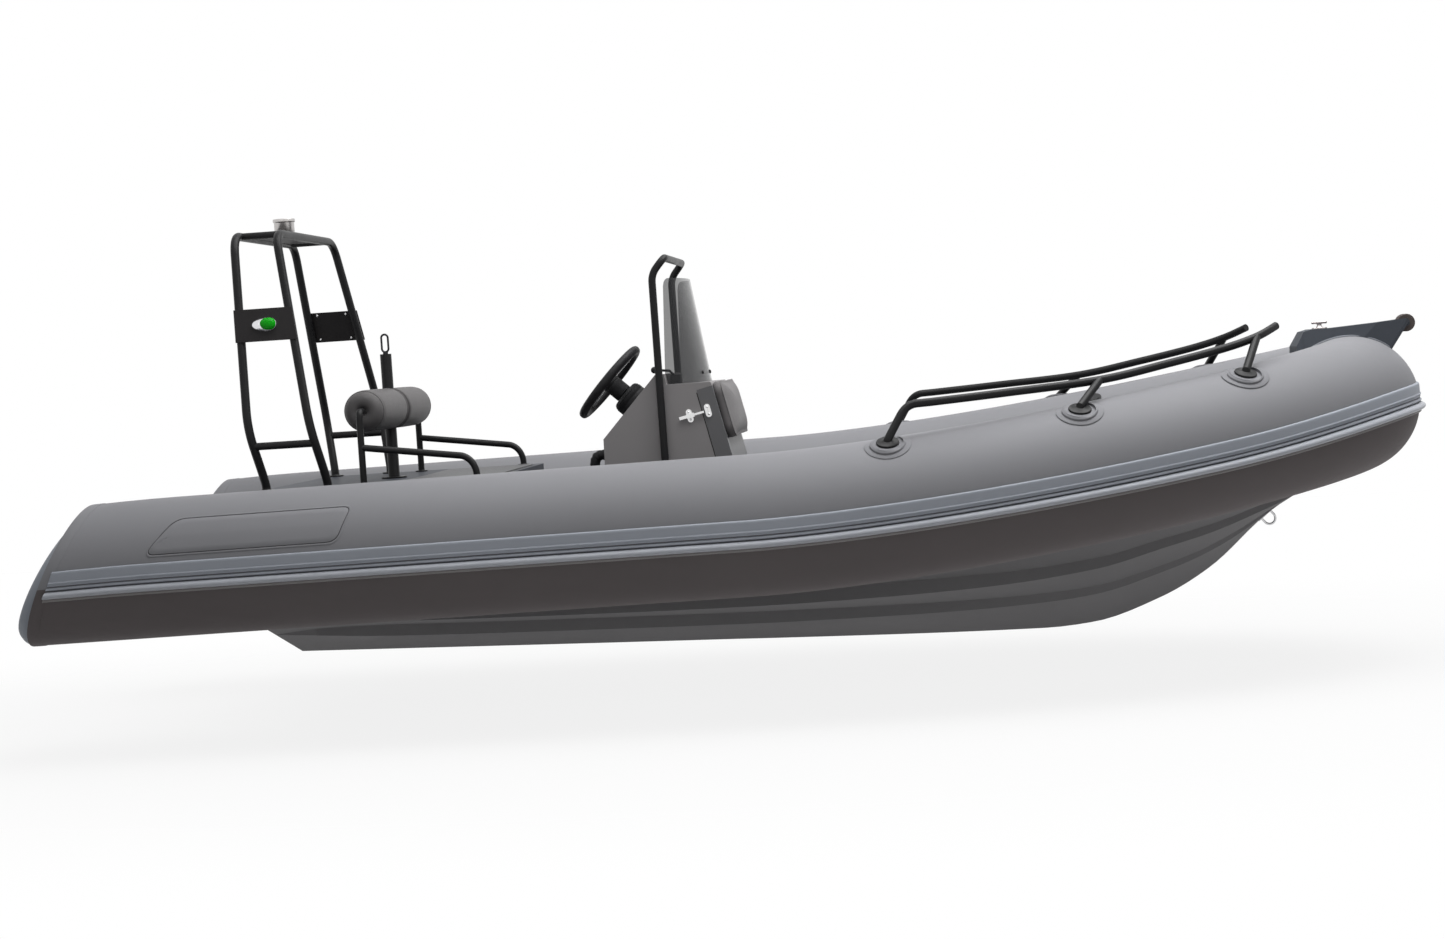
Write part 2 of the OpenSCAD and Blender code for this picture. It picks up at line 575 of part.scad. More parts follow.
// Toggle latch: base plate, lever and hook on the console, keeper on the hatch.
latch_h = 515;
module two_lobes(y) { for (k = [-1, 1]) translate([0, y, k * 14]) rotate([90, 0, 0]) cylinder(h = 3, r = 11); }
module latch_lever() {
    color("#c9ccd0") in_hatch() translate([-51, -cons_half, latch_h]) {
        two_lobes(0);
        translate([-11, -3, -14]) cube([22, 3, 28]);
        translate([-12, -11, -8]) cube([30, 8 + eps, 16]);
        translate([-40, -10, -6]) cube([34, 4, 12]);
        translate([10, -10, -4]) cube([46, 4, 8]);
    }
}
module latch_strike() {
    color("#c9ccd0") in_hatch() translate([20, -cons_half, latch_h]) {
        two_lobes(0);
        translate([-11, -3, -14]) cube([22, 3, 28]);
        translate([-8, -11, -9]) cube([8, 8 + eps, 18]);
    }
}

// Windscreen: a smoked sheet bent to a U, narrower at its top. Its sides run aft over the coaming.
// Columns: foot and top ahead of the flat top's aft edge, rise of the foot over the flat top.
screen_aft = [[2.5, 13, 0], [-4.5, 9, coaming_step + 0.3], [-7.5, 6.5, coaming_step + 0.3]];
function screen_u(f, x, reach, half) = [x + reach * cos(f), half * sin(f), 0];
module windscreen() {
    s = [for (f = [-86:8.6:86.1]) f];
    lean = [20, 0, screen_high];
    b = cons_half - 34;
    lo = [for (f = s) screen_u(f, top_x + 6, lip_x - top_x - 30, b) + [0, 0, top_z]];
    li = [for (f = s) screen_u(f, top_x + 6, lip_x - top_x - 30 - screen_thick, b - screen_thick) + [0, 0, top_z]];
    uo = [for (f = s) screen_u(f, top_x + 16, 62, b - 22) + [0, 0, top_z + screen_high]];
    ui = [for (f = s) screen_u(f, top_x + 16, 62 - screen_thick, b - 22 - screen_thick) + [0, 0, top_z + screen_high]];
    function side(k, e) = [for (q = [[e[0], b, e[2]], [e[1], b - 22, screen_high], [e[1], b - 22 - screen_thick, screen_high], [e[0], b - screen_thick, e[2]]])
        [top_x + q[0], k * q[1], top_z + q[2]]];
    color("#2b3033") loft([for (i = [2:-1:0]) side(1, screen_aft[i]), for (i = [len(s) - 1:-1:0]) [lo[i], uo[i], ui[i], li[i]], for (e = screen_aft) side(-1, e)]);
}
grab_half = cons_half + grab_pipe_d / 2 + 4;
grab_x = coaming_x + 22;
grab_bow = 40;
module grab_rail() {
    z = sole_z + grab_high;
    side = [[grab_x, -grab_half, sole_z], [grab_x, -grab_half, sole_z + stub], [grab_x - 8, -grab_half, z - 58], [grab_x + grab_bow, -grab_half + 10, z]];
    color("#1d1e20") union() {
        pipe(bend([for (p = side) p, for (i = [3:-1:0]) flip_y(side[i])], 32), grab_pipe_d, [1, 0, 0]);
        both_sides() {
            translate([grab_x, -grab_half, sole_z]) cylinder(h = 5, d = 2 * (grab_half - cons_half) - 1);
            translate([grab_x - 14, -grab_half, sole_z + 0.62 * rear_high]) cube([28, grab_half - cons_half, 40]);
        }
    }
}

// Helm: base and shaft square to the dash, and the wheel that turns on them.
helm_f = 0.49;
hub_d = 73;
hub_low = 71;
hub_cap = 12;
helm_high = 70;
module on_helm() { translate([rear_x + 5 + helm_f * dash_run, 0, dash_z + helm_f * dash_rise]) rotate([0, -dash_angle, 0]) children(); }
module helm_base() {
    color("#1d1e20") on_helm() {
        cylinder(h = helm_high, d1 = 132, d2 = 110);
        cylinder(h = wheel_off - hub_low - 0.3, d = 42);
    }
}
module steering_wheel() {
    r = wheel_d / 2 - rim_d / 2;
    color("#26282a") on_helm() translate([0, 0, wheel_off]) {
        rotate_extrude() translate([r, 0]) circle(rim_d / 2);
        translate([0, 0, -hub_low]) cylinder(h = hub_low + hub_cap, d = hub_d);
        for (a = [0, 120, 240]) rotate([0, 0, a + 30]) translate([hub_d / 2 - 4, -9, -3]) cube([r - hub_d / 2 + 4, 18, 6]);
    }
}
// Control box on the flat top, its lever reaching aft over the coaming.
module throttle() {
    color("#1d1e20") translate([top_x + 4, -0.55 * cons_half, top_z]) {
        translate([0, -28, 0]) cube([38, 56, 34]);
        translate([19, 28 - eps, 18]) rotate([-90, 0, 0]) cylinder(h = 12, d = 26);
        pipe([[19, 34, 20], [-8, 34, 50], [-62, 34, 56]], 10, [0, 1, 0]);
        translate([-66, 34, 56]) sphere(d = 26);
    }
}
// Rigging boot: a moulded elbow that takes the engine's cables from the console's rear wall to the sole.
boot_d = 42;
module rigging_boot() {
    y = -0.39 * cons_half;
    z = dash_z - 64;
    color("#151517") union() {
        pipe(bend([[rear_x + 4, y, z], [rear_x - 58, y, z], [rear_x - 62, y, z - 80], [rear_x - 62, y, sole_z]], 46, 5), boot_d, [0, 1, 0]);
        translate([rear_x - 62, y, sole_z]) cylinder(h = 8, d = boot_d + 24);
    }
}

// Bow rails on round pads, each foot on the outboard slope of the tube's crown.
foot_x = [for (f = [0.218, 0.514, 0.772]) bow_start + f * bow_length];
foot_a = 65;
pad_high = 14;
flange_high = 5;
foot_t = [for (x = foot_x) turn_at(x)];
function foot_dir(i) = cos(foot_a) * tube_n(foot_t[i]) + [0, 0, sin(foot_a)];
function foot_top(i) = tube_p(foot_t[i], foot_a) + pad_high * foot_dir(i);
function foot_neck(i) = foot_top(i) + 8 * foot_dir(i);
// Smooth curve through points.
function smooth(p, k = 4) = let (n = len(p)) [for (i = [0:n - 2]) for (s = [0:k - 1])
    let (f = s / k, a = p[max(i - 1, 0)], b = p[i], c = p[i + 1], d = p[min(i + 2, n - 1)])
    0.5 * (2 * b + (c - a) * f + (2 * a - 5 * b + 4 * c - d) * f * f + (3 * b - a - 3 * c + d) * f * f * f), p[n - 1]];
rail_a = foot_top(0) + [71, 43, 124];
rail_b = foot_top(1) + [81, 126, 92];
rail_c = foot_top(2) + [62, 140, 122];
rail_tip = foot_top(2) + [141, 220, 156];
rail_bar = smooth([rail_a + [83, 5, 3], mix(rail_a, rail_b, 0.5) + [7, -20, -2], rail_b, mix(rail_b, rail_c, 0.43) + [0, -8, -8],
    mix(rail_b, rail_c, 0.79) + [0, -12, -9], rail_c, rail_tip]);
rail_path = [for (p = bend([foot_top(0), foot_neck(0), rail_a, rail_bar[0]], 40)) p, for (i = [1:len(rail_bar) - 1]) rail_bar[i]];
module rail_side() {
    pipe(rail_path, rail_pipe_d, [0, 1, 0]);
    pipe([foot_top(1), foot_neck(1), rail_b], rail_pipe_d, [0, 1, 0]);
    pipe([foot_top(2), foot_neck(2), rail_c], rail_pipe_d, [0, 1, 0]);
    for (i = [0, 1, 2]) aim(foot_top(i), foot_dir(i)) translate([0, 0, -flange_high]) cylinder(h = flange_high + 2, d = flange_d);
}
module bow_rail_starboard() { color("#1d1e20") rail_side(); }
module bow_rail_port() { color("#1d1e20") mirror([0, 1, 0]) rail_side(); }
module pads_side() {
    difference() {
        for (i = [0, 1, 2]) aim(foot_top(i), foot_dir(i)) translate([0, 0, -pad_high - 14]) cylinder(h = pad_high + 14 - flange_high, d = pad_d);
        bow_tube_solid();
    }
}
module rail_pads_starboard() { color("#8a8c8e") pads_side(); }
module rail_pads_port() { color("#8a8c8e") mirror([0, 1, 0]) pads_side(); }

// Bow step: a wedge on the bow tube that ends in a fork for the anchor roller.
bow_c = tube_c(90);
crown_z = bow_c[2] + tr;
step_top = 34;
roller_c = [bow_c[0] + roller_ahead, 0, crown_z + step_top + 2];
fork_t = 8;
fork_in = roller_width / 2 + 0.4;
step_nose = roller_ahead + 11;
// Cuts across the step: place from the bow's centre, height over the crown, half width at the top and at the foot.
step_cuts = [[-step_aft - 6, -26, 0.33 * step_width, 0.43 * step_width], [-step_aft + 24, 26, 0.29 * step_width, 0.45 * step_width],
    [-step_aft + 56, step_top, 0.28 * step_width, 0.45 * step_width], [-56, step_top, 0.25 * step_width, 0.41 * step_width],
    [0.48 * step_nose, step_top + 10, 0.18 * step_width, 0.255 * step_width], [step_nose - 9, step_top + 19, fork_in + fork_t + 1, fork_in + fork_t + 5],
    [step_nose, step_top + 10, fork_in + fork_t + 0.5, fork_in + fork_t + 4]];
module bow_step() {
    z = crown_z;
    x = bow_c[0];
    color("#4b5563") union() {
        difference() {
            loft([for (c = step_cuts) [[x + c[0], -c[3], z - 112], [x + c[0], -c[2], z + c[1]], [x + c[0], c[2], z + c[1]], [x + c[0], c[3], z - 112]]]);
            bow_tube_solid();
            translate([x + step_nose, 0, z]) xz_prism([[0, step_top + 8], [-74, -60], [-124, -130], [60, -130], [60, step_top + 8]], step_width);
            translate([roller_c[0] - roller_d / 2 - 4, -fork_in, z - 130]) cube([120, 2 * fork_in, 260]);
        }
        both_sides() translate([roller_c[0], -fork_in, roller_c[2]]) rotate([90, 0, 0]) cylinder(h = fork_t, d = pin_d + 12);
        translate(roller_c) rotate([90, 0, 0]) translate([0, 0, -fork_in - 1]) cylinder(h = 2 * fork_in + 2, d = pin_d);
    }
}
module bow_roller() {
    r = roller_d / 2;
    h = roller_width / 2;
    b = pin_d / 2 + pin_clear;
    color("#26282a") translate(roller_c) rotate([90, 0, 0]) rotate_extrude()
        polygon([[b, -h], [r, -h], [r, -h + 8], [r - 8, -6], [r - 8, 6], [r, h - 8], [r, h], [b, h]]);
}
module bow_cleat() {
    z = crown_z + step_top;
    color("#1d1e20") translate([bow_c[0] - 95, 0, z]) {
        translate([-26, -18, 0]) cube([52, 36, 6]);
        for (s = [-1, 1]) translate([s * 11, 0, 6 - eps]) cylinder(h = 17, d = 11);
        translate([-29, 0, 23]) rotate([0, 90, 0]) cylinder(h = 58, d = 11);
    }
}
function stem(t) = let (x = mix(bow_start, tube_c(t)[0], 0.895)) [x, 0, keel_z(x)];
eye_p = mix(stem(67), stem(74), 0.5);
eye_dir = let (d = stem(74) - stem(67)) unit([d[2], 0, -d[0]]);
module bow_eye() {
    color("#c9ccd0") difference() {
        aim(eye_p, eye_dir) rotate([0, 0, 90]) {
            translate([0, 0, 22]) rotate([90, 0, 90]) rotate_extrude(angle = 180) translate([22, 0]) circle(eye_rod / 2);
            for (s = [-1, 1]) translate([0, s * 22, -24]) cylinder(h = 46 + eps, d = eye_rod);
            translate([-12, -36, -20]) cube([24, 72, 24]);
        }
        hull_solid();
    }
}
valve_t = turn_at(bow_start + 0.6 * bow_length);
valve_a = 124;
module valve() {
    difference() {
        aim(tube_p(valve_t, valve_a), cos(valve_a) * tube_n(valve_t) + [0, 0, sin(valve_a)]) translate([0, 0, -14]) {
            cylinder(h = 20, d = 62);
            cylinder(h = 24, d = 44);
        }
        bow_tube_solid();
    }
}
module valve_starboard() { color("#1d1e20") valve(); }
module valve_port() { color("#1d1e20") mirror([0, 1, 0]) valve(); }

hull();
sole_panel();
transom_board();
tube_starboard();
tube_port();
tube_bow();
cap_starboard();
cap_port();
fender_starboard();
fender_port();
stern_bench();
bench_cushion();
seat_frame();
bolster_starboard();
bolster_port();
ski_pole();
ski_hook();
arch_frame();
arch_plate_starboard();
arch_plate_port();
light_starboard();
light_port();
arch_top_plate();
mast_light();
console_body();
console_hatch();
console_cushion();
latch_lever();
latch_strike();
windscreen();
grab_rail();
helm_base();
steering_wheel();
throttle();
rigging_boot();
bow_rail_starboard();
bow_rail_port();
rail_pads_starboard();
rail_pads_port();
bow_step();
bow_roller();
bow_cleat();
bow_eye();
valve_starboard();
valve_port();
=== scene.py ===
import math

import bmesh
import bpy
from mathutils import Matrix, Vector


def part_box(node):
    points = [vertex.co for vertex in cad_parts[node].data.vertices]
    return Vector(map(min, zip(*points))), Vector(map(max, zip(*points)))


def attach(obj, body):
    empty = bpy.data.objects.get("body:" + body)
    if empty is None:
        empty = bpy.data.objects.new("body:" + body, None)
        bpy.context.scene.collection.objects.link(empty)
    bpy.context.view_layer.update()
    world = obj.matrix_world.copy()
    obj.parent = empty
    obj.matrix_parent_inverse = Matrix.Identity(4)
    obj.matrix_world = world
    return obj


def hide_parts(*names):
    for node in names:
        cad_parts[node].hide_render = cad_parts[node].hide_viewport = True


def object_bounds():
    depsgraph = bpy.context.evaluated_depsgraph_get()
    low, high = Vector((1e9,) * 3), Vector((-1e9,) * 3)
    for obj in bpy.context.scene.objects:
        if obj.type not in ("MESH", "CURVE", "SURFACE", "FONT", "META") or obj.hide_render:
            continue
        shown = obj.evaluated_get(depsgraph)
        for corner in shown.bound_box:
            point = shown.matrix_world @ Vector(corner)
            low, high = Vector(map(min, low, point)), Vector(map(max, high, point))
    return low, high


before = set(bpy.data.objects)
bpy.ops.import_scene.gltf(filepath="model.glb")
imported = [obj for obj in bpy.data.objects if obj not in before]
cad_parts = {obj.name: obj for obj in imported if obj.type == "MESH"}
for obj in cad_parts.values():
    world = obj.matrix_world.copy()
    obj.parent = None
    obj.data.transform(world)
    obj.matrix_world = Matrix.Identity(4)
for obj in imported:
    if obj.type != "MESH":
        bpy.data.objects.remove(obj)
cad_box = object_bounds()
scene = bpy.context.scene
scene.view_settings.view_transform = "Standard"

# Camera: a long lens off the starboard bow, a little above the tubes. It leans by a degree or two, as the
# photograph does, so the boat seems to climb towards its bow.
def placed(name, data):
    made = bpy.data.objects.new(name, data)
    scene.collection.objects.link(made)
    return made


photo_width_px, focal_length_px = 1445, 2490
camera_right = (0.9937, 0.0909, -0.0651)
camera_up = (0.0608, 0.0497, 0.9969)
camera_back = (0.0939, -0.9946, 0.0439)
lens = bpy.data.cameras.new("camera")
lens.sensor_width = 36
lens.sensor_fit = "HORIZONTAL"
lens.lens = lens.sensor_width * focal_length_px / photo_width_px
camera = placed("camera", lens)
stand = Matrix((camera_right, camera_up, camera_back)).transposed().to_4x4()
stand.translation = (0.821, -9.545, 0.831)
camera.matrix_world = stand
scene.camera = camera

# Hull: a glass fibre moulding with a deep keel, and a spray rail and a chine a side with upright faces. Its
# rings follow the tubes, which lie glued in hollows of its flange, and its nose closes on the bow tube.
tube_radius, tube_side = 0.25, 0.85
axis_height, axis_slope = 0.244, 0.0125
bow_start, bow_reach, bow_fullness = 0.1, 2.2, 0.87
bow_lift, bow_lift_power = 0.245, 1.6
tail_start, tail_length, tail_taper = -1.96836, 0.44, 0.03
climb_start, climb_span, climb_most = 42, 36, 7.5


def rad(degrees):
    return math.radians(degrees)


def cosd(degrees):
    return math.cos(rad(degrees))


def sind(degrees):
    return math.sin(rad(degrees))


def mix(a, b, f):
    return a + (b - a) * f


def clamp(value, low=0, high=1):
    return max(low, min(high, value))


def up(z):
    return Vector((0, 0, z))


def mm(*rows):
    """Rows of small sizes, given in millimetres."""
    return [tuple(size / 1000 for size in row) for row in rows]


def flipped(p):
    return Vector((p.x, -p.y, p.z))


def tube_height(x):
    lift = bow_lift * ((x - bow_start) / bow_reach) ** bow_lift_power if x > bow_start else 0
    return axis_height + axis_slope * x + lift


def tube_centre(turn):
    x = bow_start + bow_reach * sind(turn) ** bow_fullness
    return Vector((x, -tube_side * cosd(turn), tube_height(x)))


def tube_out(turn):
    if turn < 0.5:
        return Vector((0, -1, 0))
    along = tube_centre(min(turn + 0.4, 90)) - tube_centre(turn - 0.4)
    return Vector((along.y, -along.x, 0)).normalized()


def fender_climb(turn, angle):
    """Degrees by which the fender and what is close to it climb the tube towards the bow."""
    f = clamp((turn - climb_start) / climb_span)
    signed = angle - 360 if angle > 180 else angle
    nearness = max(0, cosd(1.3 * (signed + 4.5)))
    return 0 if 70 < angle < 290 else climb_most * f * f * (3 - 2 * f) * nearness


def round_bow(turn, angle, r=tube_radius):
    return tube_centre(turn) + r * (cosd(angle) * tube_out(turn) + up(sind(angle)))


def on_bow(turn, angle, r=tube_radius):
    return round_bow(turn, angle + fender_climb(turn, angle), r)


def on_side(x, angle, r=tube_radius):
    taper = tail_taper * clamp((tail_start - x) / tail_length, 0, 1.3) ** 2
    across, above = [r * (1 - taper) * share for share in (cosd(angle), sind(angle))]
    return Vector((x, -tube_side - across, tube_height(x) - taper * tube_radius + above))


def curve_at(points, x):
    """Smooth curve through a table of (x, y) with no overshoot at its flat places."""
    slopes = [(q[1] - p[1]) / (q[0] - p[0]) for p, q in zip(points, points[1:])]
    middle = [0 if a * b <= 0 else 2 * a * b / (a + b) for a, b in zip(slopes, slopes[1:])]
    lean = [slopes[0]] + middle + [slopes[-1]]
    x = clamp(x, points[0][0], points[-1][0])
    i = next(k for k in range(len(slopes)) if x <= points[k + 1][0])
    h = points[i + 1][0] - points[i][0]
    s = (x - points[i][0]) / h
    return ((1 + 2 * s) * (1 - s) ** 2 * points[i][1] + s * (1 - s) ** 2 * h * lean[i]
            + s * s * (3 - 2 * s) * points[i + 1][1] + s * s * (s - 1) * h * lean[i + 1])


def skin(name, rings, path_closed=False, ends=True, sharp=34):
    """Mesh over equal rings of points, smooth but for edges sharper than the given angle."""
    n, m = len(rings[0]), len(rings)
    faces = [(i * n + j, i * n + (j + 1) % n, (i + 1) % m * n + (j + 1) % n, (i + 1) % m * n + j)
             for i in range(m if path_closed else m - 1) for j in range(n)]
    if ends and not path_closed:
        faces += [tuple(reversed(range(n))), tuple((m - 1) * n + j for j in range(n))]
    mesh = bpy.data.meshes.new(name)
    mesh.from_pydata([tuple(p) for ring in rings for p in ring], [], faces)
    shaped = bmesh.new()
    shaped.from_mesh(mesh)
    bmesh.ops.remove_doubles(shaped, verts=shaped.verts, dist=1e-6)
    bmesh.ops.recalc_face_normals(shaped, faces=shaped.faces)
    shaped.to_mesh(mesh)
    shaped.free()
    mesh.polygons.foreach_set("use_smooth", [True] * len(mesh.polygons))
    mesh.set_sharp_from_angle(angle=rad(sharp))
    return placed(name, mesh)


def plug(tree, value, slot):
    if isinstance(value, Wire):
        tree.links.new(value.socket, slot)
    else:
        slot.default_value = value


class Wire:
    """A node's output that takes part in plain arithmetic."""

    def __init__(self, tree, socket):
        self.tree, self.socket = tree, socket

    def maths(self, operation, other):
        step = self.tree.nodes.new("ShaderNodeMath")
        step.operation = operation
        plug(self.tree, self, step.inputs[0])
        plug(self.tree, other, step.inputs[1])
        return Wire(self.tree, step.outputs[0])

    def __add__(self, other):
        return self.maths("ADD", other)

    def __mul__(self, other):
        return self.maths("MULTIPLY", other)

    __radd__ = __add__
    __rmul__ = __mul__


class Finish:
    """A surface finish or a sky: one shader and the nodes that vary it, in the piece's own metres."""

    def __init__(self, name, blocks=bpy.data.materials, shader="Principled BSDF", **fixed):
        self.block = blocks.new(name)
        self.block.use_nodes = True
        self.tree = self.block.node_tree
        self.shader = self.tree.nodes[shader]
        self.place = self.node("ShaderNodeTexCoord", out="Object")
        self.feed(**fixed)

    def node(self, kind, settings=(), out=0, **sockets):
        made = self.tree.nodes.new(kind)
        for key, value in dict(settings).items():
            setattr(made, key, value)
        self.fill(made, sockets)
        return Wire(self.tree, made.outputs[out])

    def fill(self, made, sockets):
        """Sockets go by name, with _ for a space, or by number, as in n0."""
        for key, value in sockets.items():
            numbered = key[0] == "n" and key[1:].isdigit()
            plug(self.tree, value, made.inputs[int(key[1:]) if numbered else key.replace("_", " ")])

    def feed(self, **sockets):
        self.fill(self.shader, sockets)

    def noise(self, scale, detail=3, stretch=(1, 1, 1)):
        spread = self.node("ShaderNodeMapping", Vector=self.place, Scale=stretch)
        return self.node("ShaderNodeTexNoise", Vector=spread, Scale=scale, Detail=detail)

    def cells(self, scale):
        to_edge = {"feature": "DISTANCE_TO_EDGE"}
        return self.node("ShaderNodeTexVoronoi", to_edge, Vector=self.place, Scale=scale)

    def between(self, dark, light, factor):
        ends = {"n6": (*dark, 1), "n7": (*light, 1)}
        return self.node("ShaderNodeMix", {"data_type": "RGBA"}, out=2, n0=factor, **ends)

    def shade(self, colour, darkest, lightest, factor):
        dark, light = [[c * share for c in colour] for share in (darkest, lightest)]
        self.feed(Base_Color=self.between(dark, light, factor))

    def relief(self, height, depth, strength=1.0):
        self.feed(Normal=self.node("ShaderNodeBump", Height=height, Distance=depth, Strength=strength))


def gelcoat(name, colour, roughness, shine=0.12):
    made = Finish(name, Coat_Roughness=0.12, Specular_IOR_Level=shine)
    cloud = made.noise(2.5)
    made.shade(colour, 0.93, 1.07, cloud)
    made.feed(Roughness=roughness + made.noise(14) * 0.12, Coat_Weight=shine * (0.1 + cloud * 0.3))
    made.relief(made.noise(260, 2), 0.0002, 0.35)
    return made.block


def settle(piece, finish, slot, *stands_for, body="boat"):
    """Gives a piece its place in the frame, and its finish unless its parts carry their own."""
    if not piece.data.materials:
        piece.data.materials.append(finish)
    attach(piece, body)
    if stands_for:
        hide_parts(*stands_for)
    return piece


transom_x, keel_datum = -1.78, -0.202
keel_line = [(-1, 0), (-0.165, -0.042), (0.464, -0.068), (0.5455, -0.055), (0.6636, 0.026), (0.75, 0.130),
             (0.85, 0.322), (0.868, 0.354), (1.055, 0.6)]
chine_line = [(-1, 0.190), (-0.5, 0.163), (-0.027, 0.153), (0.223, 0.159), (0.382, 0.171), (0.5455, 0.204),
              (0.65, 0.255), (0.736, 0.297), (0.823, 0.354), (1.055, 0.52)]
rail_width, rail_drop, rail_lift, chine_lift = 0.034, 0.014, 0.028, 0.045
keel_share, chine_share, chine_spread = 0.895, 0.93, 0.765
flange_angles, flange_width, flange_floor = (255, 240, 225), 0.84, 0.062
flange_rise_start, flange_rise_span, flange_depth = 0.455, 0.364, 0.72
straight_steps, ring_turn, rail_end_turn, stem_turn, nose_turn = 12, 2, 70, 74, 88


def along_hull(x):
    return (x - bow_start) / (bow_start - transom_x) if x < bow_start else (x - bow_start) / bow_reach


def keel_height(x):
    return keel_datum + curve_at(keel_line, along_hull(x))


def chine_height(x):
    return keel_datum + curve_at(chine_line, along_hull(x))


def hull_ring(keel, chine, flange, inner, fade):
    """One frame of the hull, from the keel out and back. Rail and chine fade out towards both ends."""
    width = rail_width / (0.76 * tube_side)
    drop, lift = up(rail_drop * fade), up(rail_lift * math.sqrt(fade))
    riser = up(min(chine_lift * (0.4 + 0.6 * fade), 0.9 * max(0, flange[0].z - chine.z)))
    bottom = [mix(keel, chine, f) for f in (0.25, 0.5, 0.5 + width, 0.5 + 1.2 * width, 0.93)]
    bottom[2] -= drop
    bottom[3] += lift
    half = [keel] + bottom + [chine - drop * 0.8, chine + riser] + flange + [inner]
    return half + [flipped(p) for p in reversed(half[1:])]


def flange_edge(turn, height=math.inf):
    edge = on_bow(turn, flange_angles[-1])
    return Vector((mix(tube_centre(turn).x, edge.x, 1.1), edge.y * 0.94, min(height, edge.z)))


hull_rings = []
for step in range(straight_steps + 1):
    x = mix(transom_x, bow_start - 0.002, step / straight_steps)
    keel, chine = Vector((x, 0, keel_height(x))), Vector((x, -chine_spread * tube_side, chine_height(x)))
    inner = Vector((x, -tube_side + flange_width * tube_radius, flange_floor))
    flange = [on_side(x, a) for a in flange_angles]
    hull_rings.append(hull_ring(keel, chine, flange, inner, clamp(step * 0.4)))
for turn in range(0, stem_turn + ring_turn, ring_turn):
    centre = tube_centre(turn)
    keel_x, chine_x = [mix(bow_start, centre.x, share) for share in (keel_share, chine_share)]
    keel = Vector((keel_x, 0, keel_height(keel_x)))
    chine = Vector((chine_x, chine_spread * centre.y, max(chine_height(chine_x), keel.z + 0.008)))
    rise = clamp((along_hull(centre.x) - flange_rise_start) / flange_rise_span)
    inner = flange_edge(turn, mix(flange_floor, tube_height(centre.x) - flange_depth * tube_radius, rise))
    flange = [on_bow(turn, a) for a in flange_angles]
    hull_rings.append(hull_ring(keel, chine, flange, inner, max(0, 1 - turn / rail_end_turn)))
stem_head, stem_chine, nose = hull_rings[-1][0], hull_rings[-1][6], on_bow(90, 235)
for turn in range(stem_turn + ring_turn, nose_turn + ring_turn, ring_turn):
    close = (turn - stem_turn) / (nose_turn - stem_turn)
    flange = [on_bow(turn, a) for a in flange_angles]
    keel, chine = [mix(start, nose, close) for start in (stem_head, stem_chine)]
    hull_rings.append(hull_ring(keel, chine, flange, flange_edge(turn), 0))
hull_finish = gelcoat("hull gelcoat", (0.170, 0.167, 0.171), 0.6, 0.02)
settle(skin("hull_moulding", hull_rings, sharp=14), hull_finish, "hull", "hull")

# Cockpit sole and transom board: a flat panel with a non-skid grain and the thick board that carries the
# outboard, both glassed into the hull.
def moulded_edges(node, finish, edge=0.004, rounds=3):
    """A CAD solid that stays, with the finish of the real piece and its edges rounded."""
    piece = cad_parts[node]
    piece.data.materials.clear()
    piece.data.materials.append(finish)
    if edge:
        piece.modifiers.new("joined faces", "WELD").merge_threshold = 1e-5
        softened = piece.modifiers.new("rounded edges", "BEVEL")
        softened.width, softened.segments = edge, rounds
        softened.limit_method, softened.angle_limit = "ANGLE", rad(35)
    return piece


def non_skid(name, colour):
    made = Finish(name)
    dirt = made.noise(5, 5)
    made.shade(colour, 0.85, 1.08, dirt)
    made.feed(Roughness=0.55 + dirt * 0.2)
    made.relief(made.cells(150), 0.0015, 0.7)
    return made.block


moulded_edges("sole_panel", non_skid("non-skid sole", (0.21, 0.215, 0.22)), 0.002)
moulded_edges("transom_board", gelcoat("transom gelcoat", (0.10, 0.104, 0.11), 0.3), 0.008)

# Collar: air tubes of light grey coated fabric, painted darker below the fenders as shade, with a long seam
# under each fender. It is one tube from tail to tail, round the bow.
def coated_fabric(name, colour, roughness=0.5):
    made = Finish(name, Specular_IOR_Level=0.1)
    made.shade(colour, 0.94, 1.06, made.noise(1.6, 4))
    made.feed(Roughness=roughness + made.noise(38, 5, (0.35, 1, 1)) * 0.12)
    made.relief(made.noise(900, 2) * 0.7 + made.noise(90, 3) * 0.5, 0.0004, 0.5)
    return made.block


seam_x, seam_rake, waist_x, straight_end = -2.392, 0.494, -2.1585, bow_start - 0.01
# Angles round the tube between which the fabric is painted darker, as shade under the fender.
around, painted_shade_from, painted_shade_to = 104, 236, 352
ring_angles = [8 + 360 * k / around for k in range(around)]


def seam_ring_x(angle):
    return seam_x + seam_rake * tube_radius * sind(angle)


def bow_turns(count):
    return [90 * (k / count) ** 1.15 for k in range(1, count + 1)]


upper_grey = coated_fabric("collar fabric, upper", (0.205, 0.206, 0.218))
# A darker copy of the collar's grey: painted shade for the tube below the fender.
lower_painted_shade_grey = coated_fabric("collar fabric, painted shade below", (0.108, 0.096, 0.097), 0.6)


# Faces between those angles take the darker copy: painted shade.
def with_painted_shade_below(piece):
    piece.data.materials.append(lower_painted_shade_grey)
    for face in piece.data.polygons:
        angle = ring_angles[face.vertices[0] % around] % 360
        face.material_index = 1 if painted_shade_from < angle < painted_shade_to else 0


half_collar = [[on_side(mix(seam_ring_x(a), waist_x, f / 8), a) for a in ring_angles] for f in range(8)]
half_collar += [[on_side(mix(waist_x, straight_end, f / 24), a) for a in ring_angles] for f in range(25)]
half_collar += [[round_bow(turn, a) for a in ring_angles] for turn in bow_turns(60)]
port_half = [[flipped(p) for p in ring] for ring in reversed(half_collar[:-1])]
collar = skin("collar", half_collar + port_half, sharp=80)
settle(collar, upper_grey, "collar", "tube_starboard", "tube_port", "tube_bow")
with_painted_shade_below(collar)
